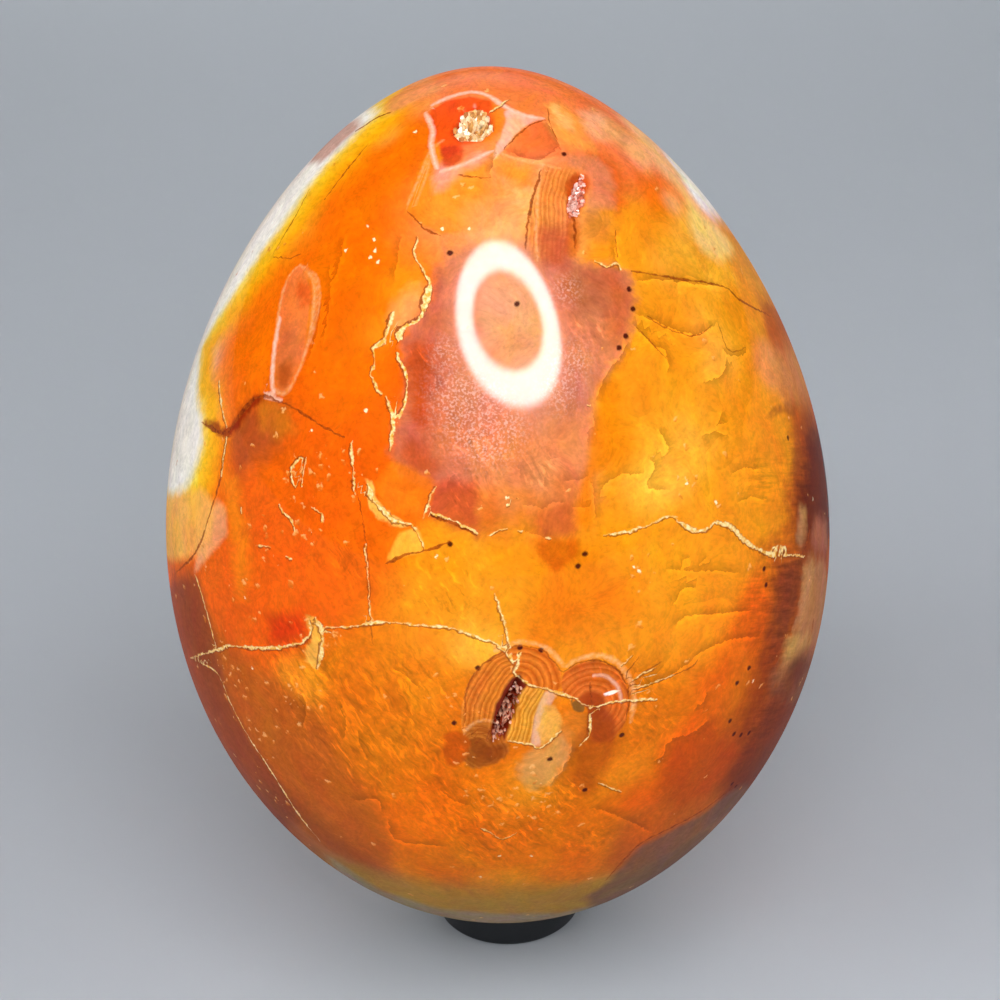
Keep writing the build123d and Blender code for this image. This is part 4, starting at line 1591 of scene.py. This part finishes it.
def cracked(tree, colour, place, wobble):
    """Lays each group of lines over a colour, where the distance is under the swelling half width."""
    swell = add(tree, "TexNoise", {
        "Vector": place, "Scale": 1 / CRACK_SWELL_SIZE, "Detail": 3.0, "Roughness": 0.6,
    }, out="Fac")
    swell = add(tree, "MapRange", {
        "Value": swell, "From Min": CRACK_NOISE[0], "From Max": CRACK_NOISE[1], "To Max": CRACK_SWELL,
    })
    grain = add(tree, "TexNoise", {"Vector": place, "Scale": 1 / CRACK_GRAIN_SIZE, "Detail": 2.0}, out="Fac")
    grain = add(tree, "MapRange", {
        "Value": grain, "From Min": CRACK_NOISE[0], "From Max": CRACK_NOISE[1],
    })
    height = None
    for group, (deep, pale), widen, shift, strength, unsteady, soft in CRACKS:
        gap = add(tree, "Attribute", {}, out="Fac", attribute_name=group + "_side")
        width = add(tree, "Attribute", {}, out="Fac", attribute_name=group + "_width")
        gap = add(tree, "Math", {0: wobble, 1: unsteady, 2: gap}, operation="MULTIPLY_ADD")
        gap = add(tree, "Math", {0: gap, 1: shift}, operation="ADD")
        gap = add(tree, "Math", {0: gap}, operation="ABSOLUTE")
        width = add(tree, "Math", {0: width, 1: widen}, operation="MULTIPLY")
        steady = add(tree, "MapRange", {"Value": unsteady, "To Min": 1.0, "To Max": swell})
        width = add(tree, "Math", {0: width, 1: steady}, operation="MULTIPLY")
        gap = add(tree, "Math", {0: gap, 1: width}, operation="SUBTRACT")
        height = add(tree, "MapRange", {
            "Value": gap, "From Min": -soft, "From Max": soft, "To Min": strength, "To Max": 0.0,
        })
        tint = add(tree, "Mix", {0: grain, 6: linear(deep), 7: linear(pale)}, out=2, data_type="RGBA")
        colour = add(tree, "Mix", {0: height, 6: colour, 7: tint}, out=2, data_type="RGBA")
    return colour, height


# %% [markdown]
# The layers are put together, the pockets get a painted shade towards their floors, and the polish goes over
# all.
# The base has no gloss of its own: the coat alone mirrors the lamp, as a polished stone does.

# %% Polished carnelian agate
CRACK_HEIGHT = 0.12
DRIFT = 5.0
DRIFT_SIZE = 5.0
RAGGED_SIZE = 1.1111
WOBBLE = 0.4
WOBBLE_SIZE = 0.625
UNSEEN_FROM = 0.22  # how squarely a point faced the camera where the far side begins
UNSEEN_BAYS = 6.0
UNSEEN_BAY_SIZE = 6.25
POCKET_SHADE = 0.8


def agate():
    """Carnelian agate, ground and polished: its colours in layers, under a thin clear coat for the polish."""
    material, tree = new_material("polished_carnelian_agate")
    metres = add(tree, "TexCoord", {}, out="Object")
    place = add(tree, "VectorMath", {0: metres, 3: 1 / MM}, operation="SCALE")
    drift = add(tree, "TexNoise", {"Vector": place, "Scale": 1 / DRIFT_SIZE, "Detail": 1.0}, out="Color")
    drift = add(tree, "VectorMath", {0: drift, 1: (-0.5, -0.5, -0.5)}, operation="ADD")
    drift = add(tree, "VectorMath", {0: drift, 3: DRIFT}, operation="SCALE")
    flowing = add(tree, "VectorMath", {0: place, 1: drift}, operation="ADD")
    ragged = add(tree, "TexNoise", {"Vector": place, "Scale": 1 / RAGGED_SIZE, "Detail": 3.0}, out="Fac")
    ragged = add(tree, "Math", {0: ragged, 1: -0.5}, operation="ADD")
    unseen = add(tree, "Attribute", {}, out="Fac", attribute_name="facing")
    unseen = add(tree, "MapRange", {
        "Value": unseen, "From Min": UNSEEN_FROM, "From Max": -UNSEEN_FROM,
    }, interpolation_type="SMOOTHSTEP")
    bays = add(tree, "TexNoise", {"Vector": place, "Scale": 1 / UNSEEN_BAY_SIZE, "Detail": 3.0}, out="Fac")
    bays = add(tree, "MapRange", {"Value": bays, "To Min": -UNSEEN_BAYS, "To Max": UNSEEN_BAYS})
    ragged = add(tree, "Math", {0: bays, 1: unseen, 2: ragged}, operation="MULTIPLY_ADD")
    wobble = add(tree, "TexNoise", {
        "Vector": place, "Scale": 1 / WOBBLE_SIZE, "Detail": 3.0, "Roughness": 0.6,
    }, out="Fac")
    wobble = add(tree, "MapRange", {"Value": wobble, "To Min": -WOBBLE, "To Max": WOBBLE})

    colour = add(tree, "Attribute", {}, out="Color", attribute_name="ground")
    colour = milky_edge(tree, colour, ragged, unseen)
    colour = patched(tree, colour, ragged)
    colour = add(tree, "VectorMath", {0: colour, 1: iron_play(tree, flowing, unseen)}, operation="MULTIPLY")
    colour = add(tree, "VectorMath", {0: colour, 3: scale_shade(tree, place, flowing)}, operation="SCALE")
    colour = worked(tree, colour, place, wobble)
    colour = specked(tree, colour, place)
    colour, height = cracked(tree, colour, place, wobble)
    # Painted shade in the pockets, darkest at their floors
    sunk = add(tree, "Attribute", {}, out="Fac", attribute_name="sunk")
    sunk = add(tree, "MapRange", {"Value": sunk, "From Min": 0.1, "From Max": 0.9, "To Max": POCKET_SHADE})
    colour = add(tree, "Mix", {0: sunk, 6: colour, 7: linear("#6A1E0C")}, out=2, data_type="RGBA")
    normal = add(tree, "Bump", {"Strength": 0.2, "Distance": CRACK_HEIGHT * MM, "Height": height})

    shader = add(tree, "BsdfPrincipled", {
        "Base Color": colour,
        "Roughness": 0.6,
        "IOR": 1.54,
        "Specular IOR Level": 0.0,
        "Coat Weight": 0.2,
        "Coat Roughness": 0.06,
        "Coat IOR": 1.54,
        "Normal": normal,
    })
    add(tree, "OutputMaterial", {"Surface": shader})
    return material


keep("sunk", sink)
stone.data.materials.append(agate())
print("stone material has", len(stone.data.materials[0].node_tree.nodes), "nodes")

# %% [markdown]
# The pockets are lined with small quartz crystals: six-sided prisms with pointed tips.
# Each stands on the pocket's floor or wall, leans a little at random and stays below the polished surface.
# All the crystals of one pocket are one mesh, made by adding one prism's points to every foot at once.

# %% Crystals in the pockets
# Each row: how many crystals, their least and most half width in mm, and pale, middle and deep colours
DRUSES = {
    "top": (130, (0.16, 0.34), "#FFF0CC", "#DCAA60", "#8E2C0C"),
    "side": (90, (0.12, 0.24), "#F4D0C4", "#D07A60", "#8A2C12"),
    "fissure": (80, (0.10, 0.20), "#E8B094", "#8E2E12", "#4E1008"),
}
PRISM_SIDES = 6
SHOULDER = 0.62
FOOT_DEPTH = 0.25
FOOT_REACH = 0.88
LEAST_ROOM = 0.15
TIP_ROOM = (0.45, 0.95)
WIDTH_ROOM = 0.7
LEAN = 0.35
STAIN_SIZE = 0.5556
EGG_ROUNDNESS = 33.0


def prism_faces(count):
    """Faces of many prisms: sides, tip and foot of the first, moved on by one prism's points for each."""
    side = np.arange(PRISM_SIDES)
    beside = (side + 1) % PRISM_SIDES
    walls = np.stack([side, beside, beside + PRISM_SIDES, side + PRISM_SIDES], axis=-1)
    tip = np.full(PRISM_SIDES, 2 * PRISM_SIDES)
    tips = np.stack([side + PRISM_SIDES, beside + PRISM_SIDES, tip], axis=-1)
    moves = (np.arange(count) * (2 * PRISM_SIDES + 1))[:, None, None]
    faces = (walls + moves).reshape(-1, 4).tolist()
    faces += (tips + moves).reshape(-1, 3).tolist()
    return faces + (side[::-1] + moves[:, 0]).tolist()


def prism_points(pocket, count, widths, seed):
    """Feet at random in the pocket's oval; ring points foot + r (cos a u + sin a v), tip at foot + axis."""
    draw = np.random.default_rng(seed)
    place, along, across, out = pocket_frame(pocket)
    angle = draw.uniform(0, 2 * np.pi, count)
    reach = FOOT_REACH * np.sqrt(draw.uniform(0, 1, count))
    x = reach * np.cos(angle) * pocket["length"] / 2
    y = reach * np.sin(angle) * pocket["width"] / 2
    room = pocket["depth"] * np.clip((1 - reach) / (1 - POCKET_FLOOR), LEAST_ROOM, 1)
    fall = room + (x * x + y * y) / (2 * EGG_ROUNDNESS)
    foot = place + x[:, None] * along + y[:, None] * across - fall[:, None] * out
    axis = out + LEAN * draw.normal(size=(count, 3))
    axis /= np.linalg.norm(axis, axis=1)[:, None]
    length = room * draw.uniform(*TIP_ROOM, count)
    width = np.minimum(draw.uniform(*widths, count), WIDTH_ROOM * room)
    u = np.cross(axis, along)
    u /= np.linalg.norm(u, axis=1)[:, None]
    v = np.cross(axis, u)
    turn = np.arange(PRISM_SIDES) * 2 * np.pi / PRISM_SIDES
    ring = np.cos(turn)[:, None] * u[:, None, :] + np.sin(turn)[:, None] * v[:, None, :]
    ring *= width[:, None, None]
    low = foot[:, None, :] - FOOT_DEPTH * width[:, None, None] * axis[:, None, :] + ring
    high = foot[:, None, :] + SHOULDER * length[:, None, None] * axis[:, None, :] + ring
    tip = (foot + length[:, None] * axis)[:, None, :]
    return np.concatenate([low, high, tip], axis=1).reshape(-1, 3), draw.uniform(0, 1, count)


def quartz_druse(name, pale, middle, deep):
    """Clear to stained quartz: each crystal has its own tone, made darker or paler by a fine iron stain."""
    material, tree = new_material("quartz_druse_" + name)
    metres = add(tree, "TexCoord", {}, out="Object")
    place = add(tree, "VectorMath", {0: metres, 3: 1 / MM}, operation="SCALE")
    stain = add(tree, "TexNoise", {"Vector": place, "Scale": 1 / STAIN_SIZE, "Detail": 3.0}, out="Fac")
    tone = add(tree, "Attribute", {}, out="Fac", attribute_name="tone")
    tone = add(tree, "Math", {0: stain, 1: 1.0, 2: tone}, operation="MULTIPLY_ADD")
    colour = colour_row(tree, tone, 0.2, 1.4, [(0.2, deep), (0.8, middle), (1.3, pale)])
    shader = add(tree, "BsdfPrincipled", {"Base Color": colour, "Roughness": 0.14, "IOR": 1.54})
    add(tree, "OutputMaterial", {"Surface": shader})
    return material


for seed, (name, (count, widths, pale, middle, deep)) in enumerate(DRUSES.items()):
    points, tones = prism_points(POCKETS[name], count, widths, seed)
    druse = new_piece("druse_" + name, points, prism_faces(count), "egg")
    druse.data.shade_flat()
    tone = druse.data.attributes.new("tone", "FLOAT", "POINT")
    tone.data.foreach_set("value", np.repeat(tones, 2 * PRISM_SIDES + 1).astype(np.float32))
    druse.data.materials.append(quartz_druse(name, pale, middle, deep))
    print("druse_" + name, "has", count, "crystals")

# %% [markdown]
# The stand is a moulded ring of glossy black plastic. Its profile is walked once round its section
# and turned about the axis, with the seat dished to the egg's own blunt end. A Screw modifier could turn
# it too, but this way the seat follows the egg's own formula.

# %% Ring stand
RING_COLUMNS = 160
ring_low, ring_high = (np.array(corner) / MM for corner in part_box("ring_stand"))
RING_RADIUS = (ring_high[0] - ring_low[0]) / 2
RING_HEIGHT = ring_high[2]
RING_WALL = 3.0
RING_EDGE = 0.5
SEAT_RIM = 1.25
SEAT_CLEARANCE = 0.15
BORE_CHAMFER = 0.3
HANDLED_SIZE = 0.4545


def ring_profile():
    """Radius and height round the section: bore, base, rounded outer wall, rim, then the dished seat."""
    bore = RING_RADIUS - RING_WALL
    quarter = np.linspace(0, np.pi / 2, 7)
    low_edge = np.column_stack([np.sin(quarter), 1 - np.cos(quarter)]) * RING_EDGE
    low_edge += [RING_RADIUS - RING_EDGE, 0]
    high_edge = np.column_stack([np.cos(quarter), np.sin(quarter)]) * RING_EDGE
    high_edge += [RING_RADIUS - RING_EDGE, RING_HEIGHT - RING_EDGE]
    heights = np.linspace(EGG_BASE, RING_HEIGHT + EGG_BASE, 4000)
    seat_radius = np.linspace(RING_RADIUS - SEAT_RIM, bore, 10)
    seat_height = np.interp(seat_radius, egg_radius(heights), heights) - SEAT_CLEARANCE
    seat = np.column_stack([seat_radius, seat_height])
    wall = np.array([[bore, BORE_CHAMFER], [bore + BORE_CHAMFER, 0]])
    return np.vstack([wall, low_edge, high_edge, seat])


profile = ring_profile()
turn = np.linspace(0, 2 * np.pi, RING_COLUMNS, endpoint=False)
ring_points = np.stack([
    profile[:, :1] * np.cos(turn),
    profile[:, :1] * np.sin(turn),
    np.repeat(profile[:, 1:], RING_COLUMNS, axis=1),
], axis=-1).reshape(-1, 3)
ring_faces = wrapped_faces(len(profile), RING_COLUMNS)
ring_seam = wrapped_faces(2, RING_COLUMNS)
last_row = (len(profile) - 1) * RING_COLUMNS
ring_seam = np.where(ring_seam < RING_COLUMNS, ring_seam + last_row, ring_seam - RING_COLUMNS)
all_ring_faces = np.vstack([ring_faces, ring_seam]).tolist()
ring = new_piece("moulded_ring", ring_points, all_ring_faces, "stand")
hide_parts("ring_stand")


def black_plastic():
    """ABS from a polished mould: nearly black, glossy, and a little cloudy where it has been handled."""
    material, tree = new_material("glossy_black_moulded_plastic")
    metres = add(tree, "TexCoord", {}, out="Object")
    place = add(tree, "VectorMath", {0: metres, 3: 1 / MM}, operation="SCALE")
    grain = add(tree, "TexNoise", {"Vector": place, "Scale": 1 / HANDLED_SIZE, "Detail": 3.0}, out="Fac")
    colour = add(tree, "Mix", {0: grain, 6: linear("#0C0D0F"), 7: linear("#1A1C20")}, out=2, data_type="RGBA")
    gloss = add(tree, "MapRange", {"Value": grain, "To Min": 0.16, "To Max": 0.3})
    shader = add(tree, "BsdfPrincipled", {"Base Color": colour, "Roughness": gloss, "IOR": 1.5})
    add(tree, "OutputMaterial", {"Surface": shader})
    return material


ring.data.materials.append(black_plastic())
print("ring", round(2 * RING_RADIUS, 2), "mm across and", round(RING_HEIGHT, 2), "mm high")

# %% [markdown]
# A plain pale floor, a soft world and five soft lamps that the polish does not mirror. Two lamp faces do
# the opposite: they give no light, and the polish mirrors them. The first is the bright ring on the egg's
# front, so it stands where that reflection needs it. Far off, the floor is shown in one pale colour,
# because the lamps do not reach that far.

# %% Floor and light
FLOOR_HALF = 60000.0
FLOOR_FADES = (300.0, 470.0)
FLOOR_COLOUR = "#A8AEB5"
FAR_COLOUR = "#ACB2B9"
WORLD_STRENGTH = 0.10

# Each row: power in watts, diameter in mm and place in mm
LAMPS = {
    "key": (0.41, 180.0, (29.6, -193.9, 258.7)),
    "left": (2.05, 400.0, (-420.0, -260.0, 420.0)),
    "right": (1.45, 400.0, (460.0, -200.0, 380.0)),
    "behind": (1.5, 400.0, (0.0, 560.0, 330.0)),
    "low": (0.42, 150.0, (0.0, -480.0, 95.0)),
}

# Each row: strength, then radii in mm with the share of the strength at each, then the middle's place
REFLECTED = {
    "ring": (
        90.0,
        (0.0, 59.0, 68.0, 90.0, 99.0, 140.0),
        (0.0, 0.02, 1.0, 1.0, 0.05, 0.0),
        (29.8, -192.9, 267.1),
    ),
    "glow": (
        2.2,
        (0.0, 60.0, 140.0, 220.0, 260.0),
        (1.0, 0.8, 0.4, 0.1, 0.0),
        (0.0, 560.0, 330.0),
    ),
}
RING_FLATTENED = 0.88
RING_LEAN = 0.2
RING_THICKER = 0.13
RING_MIDDLE = 79.0
DISC_COLUMNS = 96
DISC_RINGS = 40


def stage_piece(name, points, faces, material):
    """A mesh that belongs to the studio, not to the object."""
    mesh = bpy.data.meshes.new(name)
    mesh.from_pydata((np.asarray(points) * MM).tolist(), [], faces)
    mesh.materials.append(material)
    piece = bpy.data.objects.new(name, mesh)
    bpy.context.scene.collection.objects.link(piece)
    return piece


floor_material, tree = new_material("pale_studio_floor")
shader = add(tree, "BsdfPrincipled", {"Base Color": linear(FLOOR_COLOUR), "Roughness": 0.9})
far = add(tree, "TexCoord", {}, out="Object")
far = add(tree, "VectorMath", {0: far}, out="Value", operation="LENGTH")
far = add(tree, "MapRange", {
    "Value": far, "From Min": FLOOR_FADES[0] * MM, "From Max": FLOOR_FADES[1] * MM,
}, interpolation_type="SMOOTHSTEP")
rays = add(tree, "LightPath", {}).node
shown = rays.outputs["Is Camera Ray"]
for kind in ("Is Glossy Ray", "Is Transmission Ray"):
    shown = add(tree, "Math", {0: shown, 1: rays.outputs[kind]}, operation="MAXIMUM")
far = add(tree, "Math", {0: far, 1: shown}, operation="MULTIPLY")
pale = add(tree, "Emission", {"Color": linear(FAR_COLOUR), "Strength": 1.0})
shader = add(tree, "MixShader", {0: far, 1: shader, 2: pale})
add(tree, "OutputMaterial", {"Surface": shader})
corners = np.array([[-1, -1, 0], [1, -1, 0], [1, 1, 0], [-1, 1, 0]]) * FLOOR_HALF
stage_piece("floor", corners, [(0, 1, 2, 3)], floor_material)

for name, (power, size, place) in LAMPS.items():
    lamp_data = bpy.data.lights.new("lamp_" + name, "AREA")
    lamp_data.shape = "DISK"
    lamp_data.size = size * MM
    lamp_data.energy = power
    lamp = bpy.data.objects.new("lamp_" + name, lamp_data)
    lamp.location = np.array(place) * MM
    lamp.rotation_euler = Vector(egg_middle - np.array(place)).to_track_quat("-Z", "Y").to_euler()
    lamp.visible_glossy = False
    bpy.context.scene.collection.objects.link(lamp)

for name, (strength, radii, levels, place) in REFLECTED.items():
    material, tree = new_material("lamp_face_" + name)
    level = add(tree, "Attribute", {}, out="Fac", attribute_name="level")
    level = add(tree, "Math", {0: level, 1: strength}, operation="MULTIPLY")
    glow = add(tree, "Emission", {"Color": (1, 1, 1, 1), "Strength": level})
    add(tree, "OutputMaterial", {"Surface": glow})
    way = egg_middle - np.array(place)
    way /= np.linalg.norm(way)
    aside = np.cross(way, [0, 0, 1])
    aside /= np.linalg.norm(aside)
    above = np.cross(aside, way) * RING_FLATTENED - aside * RING_LEAN
    turn = np.linspace(0, 2 * np.pi, DISC_COLUMNS, endpoint=False)
    circle = np.cos(turn)[:, None] * aside + np.sin(turn)[:, None] * above
    radius = np.linspace(radii[-1] / DISC_RINGS, radii[-1], DISC_RINGS)
    points = np.array(place) + radius[:, None, None] * circle
    face = stage_piece("lamp_face_" + name, points.reshape(-1, 3),
                       wrapped_faces(DISC_RINGS, DISC_COLUMNS).tolist(), material)
    thicker = np.where(radius[:, None] < RING_MIDDLE, 1 + RING_THICKER * np.sin(turn) ** 2, 1)
    shares_lit = np.interp(radius[:, None] * thicker, radii, levels)
    attribute = face.data.attributes.new("level", "FLOAT", "POINT")
    attribute.data.foreach_set("value", shares_lit.ravel().astype(np.float32))
    face.visible_camera = False
    face.visible_diffuse = False
    face.visible_shadow = False

world = bpy.data.worlds.new("soft_studio")
world.use_nodes = True
world.node_tree.nodes.clear()
sky = add(world.node_tree, "Background", {"Color": linear("#E6EAEF"), "Strength": WORLD_STRENGTH})
add(world.node_tree, "OutputWorld", {"Surface": sky})
bpy.context.scene.world = world
print(len(LAMPS), "soft lamps and", len(REFLECTED), "lamps that the polish mirrors")
